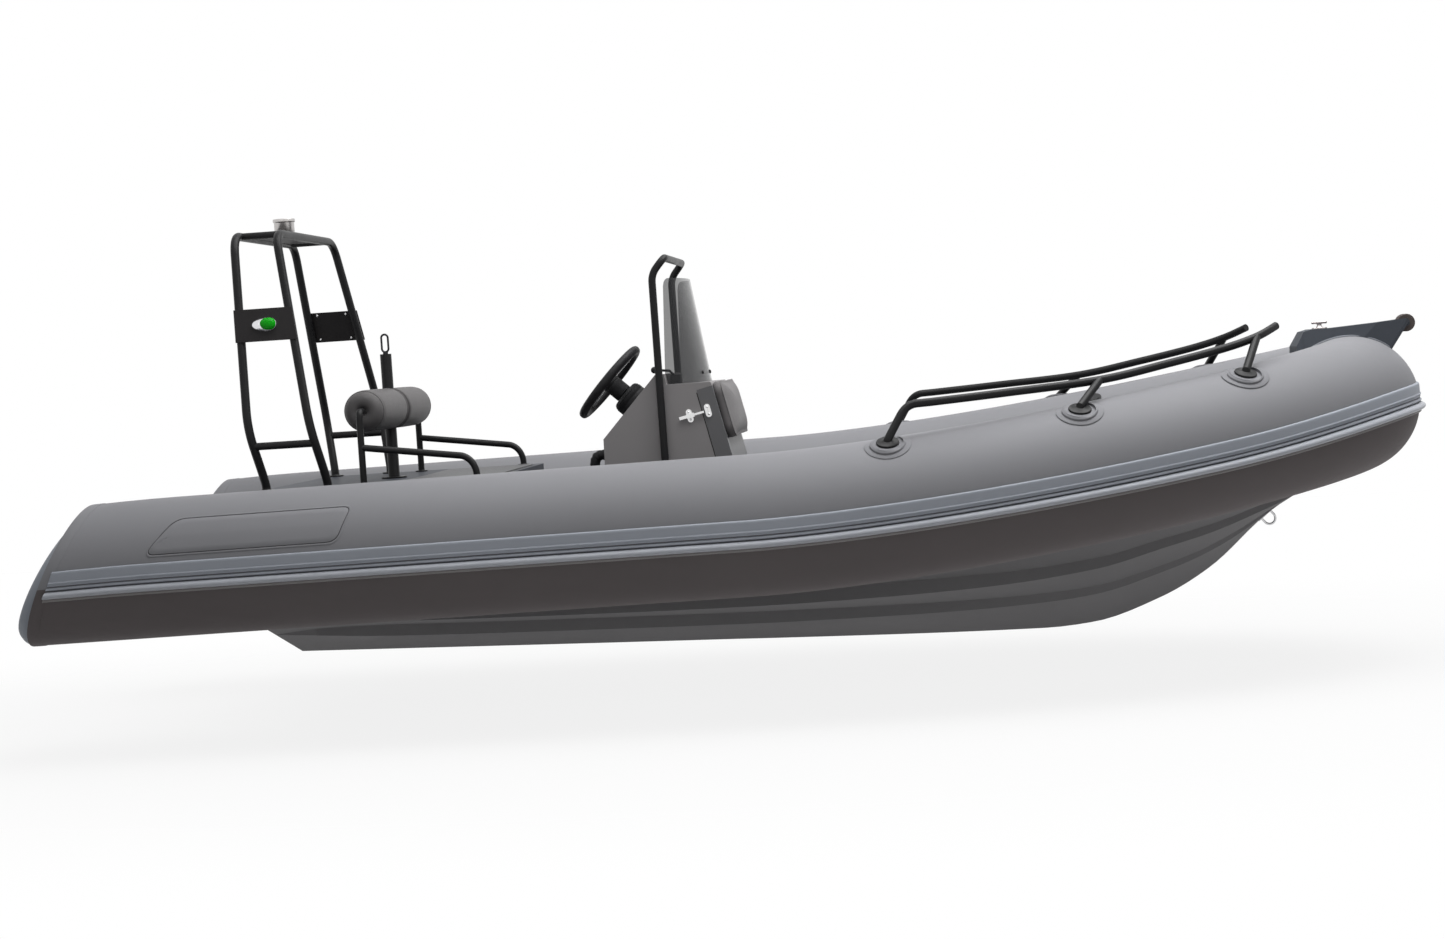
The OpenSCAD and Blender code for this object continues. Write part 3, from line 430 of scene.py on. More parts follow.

# Stern caps: moulded cones in a bluer grey, glued over the raked ends of the two tubes. A narrow tape in the
# collar's grey, painted darker below as shade like the collar, covers each joint.
both_sides = (("starboard", Vector), ("port", flipped))
cap_table = [(-0.0001, 0.494, 1), (0.0099, 0.52, 0.985), (0.0288, 0.57, 0.92), (0.0576, 0.61, 0.776),
             (0.0738, 0.59, 0.55), (0.0846, 0.575, 0.32), (0.09, 0.57, 0.1)]
cap_tape = mm((-12, -4), (-12, 0.9), (-10, 1.6), (0, 1.8), (30, 1.6), (32, 0.9), (32, -4))


def flowing(points, count=10):
    """Smooth curve through points."""
    curve = []
    for i in range(len(points) - 1):
        a, b, c, d = points[max(i - 1, 0)], points[i], points[i + 1], points[min(i + 2, len(points) - 1)]
        bow, twist = 2 * a - 5 * b + 4 * c - d, 3 * b - a - 3 * c + d
        for f in [k / count for k in range(count)]:
            curve.append(0.5 * (2 * b + (c - a) * f + bow * f * f + twist * f ** 3))
    return curve + [points[-1]]


def cap_ring(back, rake, size):
    return [on_side(seam_x - back + rake * size * tube_radius * sind(a), a, size * tube_radius)
            for a in ring_angles]


def all_turned(turned, rings):
    return [[turned(p) for p in ring] for ring in rings]


cap_finish = coated_fabric("cap moulding", (0.215, 0.235, 0.268), 0.45)
cap_rings = [cap_ring(*row) for row in flowing([Vector(row) for row in cap_table], 6)]
tape_rings = [[on_side(seam_ring_x(a) + shift, a, tube_radius + lift) for a in ring_angles]
              for shift, lift in cap_tape]
for side, turned in both_sides:
    dome = skin("cap_dome_" + side, all_turned(turned, cap_rings), sharp=80)
    settle(dome, cap_finish, "cap", "cap_" + side)
    tape = skin("cap_tape_" + side, all_turned(turned, tape_rings), ends=False, sharp=60)
    settle(tape, upper_grey, "cap")
    with_painted_shade_below(tape)

# Fender: an extruded rubber strip glued along the widest part of the tube. Its upper half is a flat band with
# a thin rib, and below come a second rib, a round rubbing bead and a thin lip, with grooves between them.
lip_end, bead_middle, bead_half, bead_end, band_start, groove_depth = 0.099, 0.218, 0.117, 0.33, 0.5, 0.0078
fender_lip = [(0, 0), (0, 0.004), (0.015, 0.0075), (0.035, 0.0085), (0.085, 0.0085), (0.098, 0.0075)]
fender_bead = [(bead_middle - bead_half * cosd(a), 0.0065 + 0.0190 * sind(a))
               for a in range(10, 171, 10)]
fender_groove_and_rib = [(0.338, 0.0062), (0.352, 0.0062), (0.37, 0.0075), (0.39, 0.0112), (0.42, 0.0126),
                         (0.45, 0.0112), (0.462, 0.0080), (0.478, 0.0060), (0.495, 0.0072)]
fender_band = [(0.52, 0.0092), (0.575, 0.0094), (0.592, 0.0112), (0.62, 0.0126), (0.648, 0.0112),
               (0.662, 0.0096), (0.75, 0.0094), (0.9, 0.0094), (0.96, 0.009), (0.985, 0.0075), (1, 0.004),
               (1, 0)]
fender_profile = fender_lip + fender_bead + fender_groove_and_rib + fender_band
fender_edges, fender_droop = (343, 8), up(0.08)


def extruded_rubber(name, colour, roughness):
    made = Finish(name, Specular_IOR_Level=0.2)
    streak = made.noise(60, 3, (0.05, 0.4, 4))
    made.shade(colour, 0.92, 1.06, made.noise(3, 4) * 0.5 + streak * 0.5)
    made.feed(Roughness=roughness + streak * 0.15)
    made.relief(streak, 0.0004, 0.4)
    return made.block


def fender_painted_tone(v, height):
    """Tone of a place on the profile: band, bead lit as painted highlight, groove and lip as painted shade."""
    if v < bead_end:
        return 3 if v < lip_end else 1
    return 2 if v < band_start and height < groove_depth else 0


# One rubber in four tones: the bead lighter as painted highlight, grooves and lip darker as painted shade.
fender_lit_and_shaded_tones = [extruded_rubber("fender " + part, colour, roughness) for part, colour, roughness in (
    ("band", (0.300, 0.320, 0.360), 0.5), ("bead", (0.36, 0.375, 0.41), 0.32),
    ("groove", (0.125, 0.125, 0.135), 0.5), ("lip", (0.215, 0.205, 0.205), 0.5))]
side_out = (Vector((0, -1, 0)) - fender_droop).normalized()
fender_sections = []
for f in range(4):
    places = [mix(on_side(seam_ring_x(a), a), on_side(waist_x, a), mix(0.09, 1, f / 4)) for a in fender_edges]
    fender_sections.append((*places, side_out))
for f in range(29):
    x = mix(waist_x, straight_end, f / 28)
    fender_sections.append((*[on_side(x, a) for a in fender_edges], side_out))
for turn in bow_turns(72):
    places = [on_bow(turn, a) for a in fender_edges]
    fender_sections.append((*places, (tube_out(turn) - fender_droop).normalized()))
fender_rings = [[mix(low, high, v) + out * height for v, height in fender_profile]
                for low, high, out in fender_sections]
for side, turned in both_sides:
    strip = skin("fender_strip_" + side, all_turned(turned, fender_rings), sharp=38)
    settle(strip, fender_lit_and_shaded_tones[0], "fender", "fender_" + side)
    for finish in fender_lit_and_shaded_tones[1:]:
        strip.data.materials.append(finish)
    for face in strip.data.polygons:
        k = min(v % len(fender_profile) for v in face.vertices) if len(face.vertices) == 4 else 0
        face.material_index = fender_painted_tone(*fender_profile[k])

# Stern bench: a glass fibre locker in dark blue-grey. Its lid carries the arch, the ski pole and the backrest.
moulded_edges("stern_bench", gelcoat("bench gelcoat", (0.040, 0.044, 0.053), 0.5), 0.010, 4)

# Seat pad: closed-cell foam in grey leathercloth, welted round its edge, in a shallow recess of the bench lid.
def leathercloth(name, colour):
    made = Finish(name, Specular_IOR_Level=0.12, Sheen_Weight=0.04, Sheen_Roughness=0.4)
    made.shade(colour, 0.9, 1.1, made.noise(7, 4))
    made.feed(Roughness=0.44 + made.noise(60, 3) * 0.14)
    made.relief(made.cells(420), 0.0008, 0.45)
    return made.block


def rounded_outline(width, height, corner, count=24):
    """Points round a rectangle with round corners, centred on the origin."""
    arcs = []
    for sx, sy, begin in ((1, 1, 0), (-1, 1, 90), (-1, -1, 180), (1, -1, 270)):
        cx, cy = sx * (width / 2 - corner), sy * (height / 2 - corner)
        angles = [rad(begin + 90 * k / 8) for k in range(9)]
        arcs.append([Vector((cx + corner * math.cos(a), cy + corner * math.sin(a))) for a in angles])
    points = []
    for arc, after in zip(arcs, arcs[1:] + arcs[:1]):
        points += arc + [mix(arc[-1], after[0], k / count) for k in range(1, count)]
    return points


def stuffed(name, width, height, corner, thick, crown, welt, place):
    """A padded form: flat back, sides that pull in, a welt round the front edge and a crowned front."""
    edge = rounded_outline(width, height, corner)
    half_u, half_v, rim, inset = width / 2, height / 2, thick - crown, 0.005 + welt

    def ring(shrink, lift, scale=1.0):
        points = []
        for u, v in edge:
            pull = 0.004 * (math.cos(math.pi * u / width) * abs(v) / half_v
                            + math.cos(math.pi * v / height) * abs(u) / half_u)
            across, along = (half_u - shrink - pull) / half_u, (half_v - shrink - pull) / half_v
            points.append(place(u * across * scale, v * along * scale, lift))
        return points

    rings = [ring(0.006, 0), ring(0.002, 0.003), ring(0.0, rim * 0.45), ring(0.001, rim - welt * 1.6),
             ring(0.0025, rim - welt * 0.9)]
    for a in (10, 50, 90, 130, 170):
        rings.append(ring(0.002 + welt * (0.35 - 0.6 * sind(a)), rim - welt * 0.5 * (1 + cosd(a))))
    rings.append(ring(inset, rim + 0.0005))
    for f in (0.03, 0.07, 0.13, 0.22, 0.34, 0.48, 0.64, 0.8, 0.93):
        rings.append(ring(inset, rim + crown * (1 - (1 - f) ** 3.2), 1 - f))
    return skin(name, rings, sharp=70)


low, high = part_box("bench_cushion")
pad_middle = (low[0] + high[0]) / 2
pad_length, pad_width, pad_thick = [high[k] - low[k] for k in range(3)]
pad = stuffed("seat_pad", pad_length, pad_width, corner=0.029, thick=pad_thick, crown=0.007, welt=0.004,
              place=lambda u, v, w: Vector((pad_middle + u, v, low[2] + w)))
settle(pad, leathercloth("seat leathercloth", (0.085, 0.085, 0.088)), "cushion", "bench_cushion")

# Backrest frame: black coated steel pipe, an upright and a sloping armrest a side, with feet on the bench lid.
def bend(a, corner, b, f):
    return (1 - f) ** 2 * a + 2 * f * (1 - f) * corner + f * f * b


def bent(path, reach, count=10):
    """Path with its corners rounded as a pipe bender leaves them."""
    path = [Vector(p) for p in path]
    points = path[:1]
    for before, corner, after in zip(path, path[1:], path[2:]):
        arms = (before - corner, after - corner)
        a, b = [corner + min(reach, 0.45 * arm.length) * arm.normalized() for arm in arms]
        points += [bend(a, corner, b, k / count) for k in range(count + 1)]
    return points + path[-1:]


def turns(count):
    return [2 * math.pi * k / count for k in range(count)]


def circle(centre, radius, side, other, count):
    return [centre + radius * (math.cos(a) * side + math.sin(a) * other) for a in turns(count)]


def pipe_rings(path, width, sides=24):
    side = (path[1] - path[0]).normalized().orthogonal().normalized()
    rings = []
    for i, p in enumerate(path):
        along = (path[min(i + 1, len(path) - 1)] - path[max(i - 1, 0)]).normalized()
        side = (side - along * side.dot(along)).normalized()
        rings.append(circle(p, width / 2, side, along.cross(side), sides))
    return rings


def pipe(name, path, width, sides=24):
    return skin(name, pipe_rings(path, width, sides))


def lathe(name, profile, base, axis=(0, 0, 1), sides=48, sharp=34):
    """Turned piece: profile of (radius, height) along an axis that starts at base."""
    axis = Vector(axis).normalized()
    side = axis.orthogonal().normalized()
    other = axis.cross(side)
    rings = [circle(Vector(base) + axis * h, max(r, 1e-5), side, other, sides) for r, h in profile]
    return skin(name, rings, sharp=sharp)


def joined(name, parts):
    """One piece out of several that are welded or screwed together. Each keeps its own finish."""
    whole = bmesh.new()
    finishes = []
    for part in parts:
        start = len(whole.faces)
        whole.from_mesh(part.data)
        whole.faces.ensure_lookup_table()
        for finish in part.data.materials:
            if finish not in finishes:
                finishes.append(finish)
            for face in whole.faces[start:]:
                face.material_index = finishes.index(finish)
        bpy.data.objects.remove(part)
    mesh = bpy.data.meshes.new(name)
    whole.to_mesh(mesh)
    whole.free()
    for finish in finishes:
        mesh.materials.append(finish)
    return placed(name, mesh)


def coated_steel(name, colour, roughness=0.3):
    made = Finish(name, Specular_IOR_Level=0.16)
    dust = made.noise(9, 5)
    dusty = [c * 1.9 + 0.004 for c in colour]
    made.feed(Base_Color=made.between(colour, dusty, dust), Roughness=roughness + dust * 0.18)
    made.relief(made.noise(420, 2), 0.0002, 0.4)
    return made.block


black_pipe = coated_steel("black pipe coating", (0.006, 0.006, 0.0065))
bench_top, bolster_height, roll_outer = 0.455, 0.727, 0.455
upright_x, frame_half, armrest_foot, armrest_bend, frame_pipe = -1.365, 0.505, -0.94, 0.066, 0.025
armrest_share, armrest_end, bend_foot, bend_drop = 0.51, 0.089, 0.012, 0.0765
frame_foot = mm((0, 0), (25.5, 0), (25.5, 3), (24, 5), (14.5, 5.5), (12.5, 8))
frame_parts = []
for s in (-1, 1):
    y = s * frame_half
    corners = ((y, bench_top), (y, bolster_height), (s * roll_outer, bolster_height))
    frame_parts.append(pipe("upright", bent([(upright_x, *corner) for corner in corners], 0.034), frame_pipe))
    bend_x = armrest_foot - armrest_bend
    armrest = [Vector((upright_x, y, mix(bench_top, bolster_height, armrest_share))),
               Vector((bend_x, y, bench_top + armrest_end))]
    for a in range(8, 91, 8):
        fall = bench_top + bend_foot + bend_drop * cosd(a)
        armrest.append(Vector((bend_x + armrest_bend * sind(a), y, fall)))
    armrest.append(Vector((armrest_foot, y, bench_top)))
    frame_parts.append(pipe("armrest", armrest, frame_pipe))
    for x in (upright_x, armrest_foot):
        frame_parts.append(lathe("foot", frame_foot, (x, y, bench_top)))
settle(joined("backrest_frame", frame_parts), black_pipe, "black_pipe", "seat_frame")

# Bolster: two foam rolls in leathercloth on the frame's inturned ends, each with a welted seam and its outer
# end drawn in round the pipe.
roll_inner, roll_radius = 0.008, 0.0785
roll_length = roll_outer - roll_inner


def welt(radius, at, size=0.0036):
    """Piping in a seam: the cloth dips on both sides of a thin cord."""
    cord = [(radius - 0.0024 + size * sind(a), at - size * cosd(a)) for a in range(15, 166, 30)]
    dip_before = [(radius - 0.0004, at - 0.011), (radius - 0.0026, at - 0.0046)]
    dip_after = [(radius - 0.0026, at + 0.0046), (radius - 0.0004, at + 0.011)]
    return dip_before + cord + dip_after


drawn_end = mm((13.5, 27), (14.8, 18), (18.5, 11), (26, 6.5), (36, 4.5), (46, 5), (55, 8.5), (62, 14),
               (68, 21.5), (71.5, 29), (72.4, 33))
end_welt = mm((72.7, 34.5), (75.2, 35.2), (76.6, 37), (76.8, 39), (75.6, 40.8), (74.4, 41.4))
roll_body = [(0.0752, 0.0450), (0.0772, 0.052), (roll_radius, 0.066), (roll_radius + 0.0005, 0.16),
             (roll_radius + 0.0006, 0.28), (roll_radius, roll_length - 0.045)]
flat_end = [(roll_radius - 0.006, roll_length - 0.003), (roll_radius - 0.016, roll_length),
            (0.030, roll_length), (0.0, roll_length)]
roll_profile = drawn_end + end_welt + roll_body + welt(roll_radius, roll_length - 0.016) + flat_end
bolster_grey = leathercloth("bolster leathercloth", (0.098, 0.094, 0.095))
for side, s in (("starboard", -1), ("port", 1)):
    roll_end = (upright_x, s * roll_outer, bolster_height)
    roll = lathe("bolster_roll_" + side, roll_profile, roll_end, (0, -s, 0), 72, 60)
    settle(roll, bolster_grey, "cushion", "bolster_" + side)

# Ski pole and hook: a thick black pipe on a round foot, with a long steel ring for the tow rope.
def bright_steel(name, colour=(0.62, 0.62, 0.63), roughness=0.16):
    made = Finish(name, Metallic=1.0)
    brush = made.noise(120, 3, (1, 1, 0.12))
    made.shade(colour, 0.86, 1, brush)
    made.feed(Roughness=roughness + brush * 0.16)
    made.relief(brush, 0.0001, 0.3)
    return made.block


stainless = bright_steel("stainless steel")
moulded_edges("ski_pole", black_pipe, 0.0015)
moulded_edges("ski_hook", bright_steel("hook steel", (0.035, 0.035, 0.038), 0.3), 0)

# Arch: two bent pipe hoops with low ties and short ties at the top, on round feet screwed to the bench. A
# plate between the top pipes carries the mast light's socket.
arch_top, knee_height, foot_half, knee_half, crown_half = 1.41, 0.688, 0.52, 0.585, 0.43
hoop_pipe, low_tie_pipe, top_tie_pipe, top_tie_inset = 0.032, 0.028, 0.026, 0.078
arch_foot = mm((0, 0), (33, 0), (33, 4), (31.5, 6), (18.5, 6.5), (16, 10))


def arch_leg(foot_x, knee_x, top_x):
    foot = Vector((foot_x, -foot_half, bench_top))
    knee, top = Vector((knee_x, -knee_half, knee_height)), Vector((top_x, -crown_half, arch_top))
    return [foot, foot + up(0.026), knee, top]


aft_leg, fore_leg = arch_leg(-1.73, -1.766, -1.81), arch_leg(-1.498, -1.534, -1.65)
legs = (aft_leg, fore_leg)
arch_parts = []
for leg in legs:
    arch_parts.append(pipe("hoop", bent(leg + [flipped(p) for p in reversed(leg)], 0.075, 14), hoop_pipe))
for _, turned in both_sides:
    arch_parts.append(pipe("low_tie", [turned(mix(leg[1], leg[2], 0.69)) for leg in legs], low_tie_pipe))
    top_ends = [turned(leg[3] + Vector((0, top_tie_inset, 0))) for leg in legs]
    arch_parts.append(pipe("top_tie", top_ends, top_tie_pipe))
    arch_parts += [lathe("foot", arch_foot, turned(leg[0])) for leg in legs]
settle(joined("arch_hoops", arch_parts), black_pipe, "black_pipe", "arch_frame")
plate_black = coated_steel("arch plate coating", (0.010, 0.009, 0.0095), 0.45)
moulded_edges("arch_top_plate", plate_black, 0.001, 2)

# Side plates and navigation lights: a black plate outside the legs of each side, on four screws whose heads
# show inside. It carries a chromed oval housing with a lens over its forward part, green to starboard.
plate_at = mix((aft_leg[2] + fore_leg[2]) / 2, (aft_leg[3] + fore_leg[3]) / 2, 0.525)
plate_up = Vector((0, knee_half - crown_half, arch_top - knee_height)).normalized()
plate_out = Vector((0, -plate_up.z, plate_up.y))
plate_back, plate_face, plate_low, plate_high, plate_past = 0.0161, 0.0195, 0.441, 0.609, 0.0165
plate_layers = [(0.01, plate_back), (0, plate_back + 0.0008), (0, plate_face - 0.0008), (0.01, plate_face)]
plate_corners = [mix(leg[2], leg[3], f) + Vector((past, 0, 0)) for leg, f, past in (
    (aft_leg, plate_low, -plate_past), (fore_leg, plate_low, plate_past), (fore_leg, plate_high, plate_past),
    (aft_leg, plate_high, -plate_past))]
plate_screw = mm((5.2, 0), (5.2, 0.8), (4.3, 2), (2.4, 3), (0, 3.2))
screw_places = mm((-62, -50), (68, -50), (-64, 50), (56, 50))


def on_plate(u, v, lift):
    return plate_at + Vector((u, 0, 0)) + plate_up * v + plate_out * lift


for side, turned in both_sides:
    layers = [[mix(corner, plate_at, inset) + plate_out * lift for corner in plate_corners]
              for inset, lift in plate_layers]
    plate = skin("side_plate_" + side, all_turned(turned, layers), sharp=20)
    settle(plate, plate_black, "black_pipe", "arch_plate_" + side)
    screws = [lathe("screw", plate_screw, turned(on_plate(u, v, plate_back)), turned(-plate_out), 20)
              for u, v in screw_places]
    settle(joined("plate_screws_" + side, screws), stainless, "stainless")


def lens_finish(name, colour):
    made = Finish(name, Specular_IOR_Level=0.1, Coat_Roughness=0.08)
    rib = made.node("ShaderNodeTexWave", {"bands_direction": "X"}, Vector=made.place, Scale=160.0)
    made.shade(colour, 0.8, 1, rib)
    made.feed(Roughness=0.2 + made.noise(50) * 0.1, Coat_Weight=0.02 + rib * 0.03)
    made.relief(rib, 0.0006, 0.5)
    return made.block


def oval(turned, length, height, lift, shift=0.0):
    """Egg-shaped ring over a side plate, fuller towards the bow."""
    points = []
    for a in turns(56):
        u = math.copysign(abs(math.cos(a)) ** 0.85, math.cos(a)) * length / 2 + shift
        v = math.sin(a) * height / 2 * (1 + 0.16 * u / (length / 2 + abs(shift)))
        points.append(turned(on_plate(u, v, plate_face + lift)))
    return points


def finished(part, finish):
    part.data.materials.append(finish)
    return part


chrome = bright_steel("lamp chrome", (0.78, 0.78, 0.80), 0.08)
housing_rows = mm((95, 53, 0), (95, 53, 4), (92, 50, 7.5), (84, 44, 11), (70, 36, 15, 2), (50, 26, 18),
                  (24, 12, 19, -2))
lens_rows = mm((62, 43, 6), (62, 43, 12.5), (59, 40, 16.5), (49, 31, 20.5), (33, 20, 23), (14, 9, 24))
lens_shift = 0.0142
lens_tints = (("green", (0.001, 0.36, 0.004)), ("red", (0.45, 0.006, 0.005)))
for (side, turned), (tint, colour) in zip(both_sides, lens_tints):
    housing = finished(skin("housing", [oval(turned, *row) for row in housing_rows], sharp=50), chrome)
    cover = skin("lens", [oval(turned, *row, lens_shift) for row in lens_rows], sharp=50)
    parts = [housing, finished(cover, lens_finish("lens " + side, colour))]
    settle(joined("navigation_light_" + side, parts), chrome, "lens_" + tint, "light_" + side)

# Mast light socket: a spun stainless cup with a rolled rim.
cup_foot = mm((0, 0), (47, 0), (47, 3), (45, 5), (40.5, 6.2), (39, 9))
cup_wall = mm((39, 22), (38.4, 23), (38.4, 25), (39, 26), (39, 60), (40.5, 63.5))
cup_rim = mm((42.8, 65), (43, 68), (43, 73), (42.2, 75.5), (40, 76), (37.2, 75.2))
cup_inside = mm((36.2, 72), (35.8, 69), (12, 68.8), (10, 71.5), (0, 72))
cup_profile = cup_foot + cup_wall + cup_rim + cup_inside
cup = lathe("mast_socket", cup_profile, (-1.73, 0, arch_top + 0.003), sides=64)
settle(cup, bright_steel("socket steel", (0.55, 0.53, 0.52), 0.22), "stainless", "mast_light")

# Console: a glass fibre moulding in warm dark grey with a sloping dash and an upright coaming. Its front is a
# hatch on two hinges to port, closed to starboard by a toggle latch.
moulded_edges("console_body", gelcoat("console gelcoat", (0.262, 0.252, 0.254), 0.4), 0.005)
moulded_edges("console_hatch", gelcoat("hatch gelcoat", (0.142, 0.142, 0.147), 0.36), 0.006)
latch_steel = bright_steel("latch steel", (0.80, 0.80, 0.80), 0.2)
moulded_edges("latch_lever", latch_steel, 0.0012, 2)
moulded_edges("latch_strike", latch_steel, 0.0012, 2)
seam_foot, hatch_lean = Vector((0.00385, 0, 0.14)), rad(12.75)
latch_y, latch_height, latch_screw_gap = -0.3131, 0.515, 0.014
latch_screw = mm((4.2, 0), (4.2, 0.4), (3.4, 1.4), (1.6, 2), (0, 2.1))


def in_hatch(d, y, h):
    """Point at d ahead of the hatch's seam and h up along it."""
    lean, rise = math.sin(hatch_lean), math.cos(hatch_lean)
    return Vector((seam_foot.x - h * lean + d * rise, y, seam_foot.z + h * rise + d * lean))


for name, body, d in (("latch_screws", "boat", -0.051), ("keeper_screws", "hatch", 0.020)):
    screws = [lathe("screw", latch_screw, in_hatch(d, latch_y, latch_height + h), (0, -1, 0), 18)
              for h in (-latch_screw_gap, latch_screw_gap)]
    settle(joined(name, screws), stainless, "stainless", body=body)

# Hatch seal: a thin black rubber edge on the console's side walls, along the seam that the hatch shuts on.
seal_black = coated_steel("seal rubber", (0.008, 0.008, 0.008), 0.6)
seal_section = mm((-3.4, -310.1), (-3.4, -310.5), (-3, -310.8), (-0.8, -310.8), (-0.4, -310.5),
                  (-0.4, -310.1))
seal_foot, seal_length, seal_steps = 0.004, 0.586, 24
seal_rings = [[in_hatch(d, y, seal_foot + seal_length * k / seal_steps) for d, y in seal_section]
              for k in range(seal_steps + 1)]
for side, turned in both_sides:
    settle(skin("hatch_seal_" + side, all_turned(turned, seal_rings), sharp=50), seal_black, "black_plastic")

# Console cushion: a thick pad in leathercloth, screwed to the hatch from inside, a backrest for a seat ahead.
cushion_seat, cushion_height = 0.0602, 0.5018
back_cushion = stuffed("backrest_cushion", width=0.58, height=0.22, corner=0.048, thick=0.056, crown=0.024,
                       welt=0.005, place=lambda u, v, w: in_hatch(cushion_seat + w, u, cushion_height + v))
cushion_finish = leathercloth("console leathercloth", (0.138, 0.132, 0.134))
settle(back_cushion, cushion_finish, "cushion", "console_cushion", body="hatch")

# Windscreen: one sheet of smoked acrylic bent to a U, its foot screwed down on the flat top of the console.
def smoked_acrylic(name):
    made = Finish(name, IOR=1.45, Specular_IOR_Level=0.3)
    haze = made.noise(4, 4)
    made.feed(Base_Color=made.between((0.020, 0.021, 0.023), (0.035, 0.036, 0.039), haze),
              Roughness=0.05 + haze * 0.05, Alpha=0.48 + haze * 0.06)
    return made.block


screen_foot, screen_top, screen_corner, sheet = 0.753, 1.150, 0.030, 0.005
screen_axis, screen_reach = (-0.234, -0.224), (0.135, 0.062)
screen_half, wing_reach = (0.276, 0.254), (0.0229, 0.0138)
bend_end, bend_steps, wing_steps, levels = 86, 36, 6, 12
bend_length, wing_length, heel_rise, heel_start, heel_span = 0.34, 0.023, 0.0393, 0.563, 0.306
screw_middle, screw_reach, screw_half, screw_height, screw_lean = -0.2331, 0.1292, 0.2742, 0.790, 0.06
screen_screw = mm((7.5, -1), (7.5, 2), (6, 4), (3, 5.2), (0, 5.5))


def on_screen(angle, past, side, z, inset):
    """Point of the sheet at an angle of its bend, or past the bend on the short wing behind it."""
    v = (z - screen_foot) / (screen_top - screen_foot)
    reach, half = mix(*screen_reach, v) - inset, mix(*screen_half, v) - inset
    across = mix(sind(angle), side, min(1, 3 * past))
    x = mix(*screen_axis, v) + reach * cosd(angle) - past * mix(*wing_reach, v)
    return Vector((x, half * across, z))


screen_rings = []
for k in range(-bend_steps - wing_steps, bend_steps + wing_steps + 1):
    angle = clamp(bend_end * k / bend_steps, -bend_end, bend_end)
    past = max(0, abs(k) - bend_steps) / wing_steps
    to_edge = wing_length * (1 - past) + (bend_end - abs(angle)) / bend_end * bend_length
    short = screen_corner - min(to_edge, screen_corner)
    top = screen_top - screen_corner + math.sqrt(screen_corner ** 2 - short ** 2)
    foot = screen_foot + heel_rise * clamp((past - heel_start) / heel_span)
    heights = [mix(foot, top, level / levels) for level in range(levels + 1)]
    side = math.copysign(1, k)
    outside, inside = [[on_screen(angle, past, side, z, inset) for z in heights] for inset in (0, sheet)]
    screen_rings.append(outside + inside[::-1])
screen = skin("windscreen_sheet", screen_rings, sharp=50)
settle(screen, smoked_acrylic("smoked acrylic"), "screen", "windscreen")
screws = []
for angle in (-28, 0, 28):
    ahead, across = cosd(angle), sind(angle)
    at = Vector((screw_middle + screw_reach * ahead, screw_half * across, screw_height))
    out = (screen_half[0] * ahead, screen_reach[0] * across, screw_lean)
    screws.append(lathe("screw", screen_screw, at, out, 20))
settle(joined("screen_screws", screws), black_pipe, "black_plastic")

# Grab rail: a tall black pipe loop round the windscreen, from the sole up both sides of the console.
grab_x, grab_half, grab_top, grab_pipe, sole_top, console_side = -0.258, 0.328, 1.224, 0.028, 0.07, 0.3101
grab_side = [Vector((grab_x, -grab_half, sole_top)), Vector((grab_x, -grab_half, sole_top + 0.026)),
             Vector((grab_x - 0.008, -grab_half, grab_top - 0.058)),
             Vector((grab_x + 0.040, -grab_half + 0.010, grab_top))]
grab_path = bent(grab_side + [flipped(p) for p in reversed(grab_side)], 0.032, 12)
grab_foot = mm((0, 0), (17.4, 0), (17.4, 4), (14, 6))
bracket_height = 0.396
grab_bracket = mm((0, 0), (16, 0), (16, 3), (10, 5), (10, 17.8), (0, 17.8))
grab_parts = [pipe("loop", grab_path, grab_pipe)]
for s in (-1, 1):
    grab_parts.append(lathe("foot", grab_foot, (grab_x, s * grab_half, sole_top)))
    grab_parts.append(lathe("bracket", grab_bracket, (grab_x, s * console_side, bracket_height), (0, s, 0)))
settle(joined("grab_loop", grab_parts), black_pipe, "black_pipe", "grab_rail")

# Helm: a moulded black base with grooves on the dash, and a wheel with a soft rim on three stainless spokes.
def moulded_plastic(name, colour, roughness=0.42, grain=700):
    made = Finish(name, Specular_IOR_Level=0.15)
    dust = made.noise(12, 4)
    dusty = [c * 1.6 + 0.003 for c in colour]
    made.feed(Base_Color=made.between(colour, dusty, dust), Roughness=roughness + dust * 0.15)
    made.relief(made.noise(grain, 2), 0.0004, 0.5)
    return made.block


dash_rise, dash_run, wheel_lift = 0.229, 0.210, 0.145
helm_at, helm_turn = Vector((-0.3871, 0, 0.67521)), math.atan2(dash_rise, dash_run)
helm_axis = Vector((-math.sin(helm_turn), 0, math.cos(helm_turn)))
helm_up = Vector((math.cos(helm_turn), 0, math.sin(helm_turn)))
helm_side = helm_axis.cross(helm_up)
black_plastic = moulded_plastic("black moulding", (0.012, 0.012, 0.013))
helm_profile = mm((0, 0), (66, 0), (66, 34), (65.2, 35.5), (65.2, 37.5), (66, 39), (65.5, 52), (63.2, 54.5),
                  (63.2, 56), (64.5, 57.2), (58.5, 66.5), (54, 69.8), (50, 70), (24, 70), (21, 71.5),
                  (21, 73), (0, 73.5))
helm = lathe("helm_boss", helm_profile, helm_at, helm_axis, 64)
settle(helm, black_plastic, "black_plastic", "helm_base")
wheel_at = helm_at + helm_axis * wheel_lift
rim_radius, rim_half, grip_half, grip_wave, grips = 0.158, 0.0168, 0.0164, 0.0006, 24


def from_hub(a):
    return math.cos(a) * helm_up + math.sin(a) * helm_side


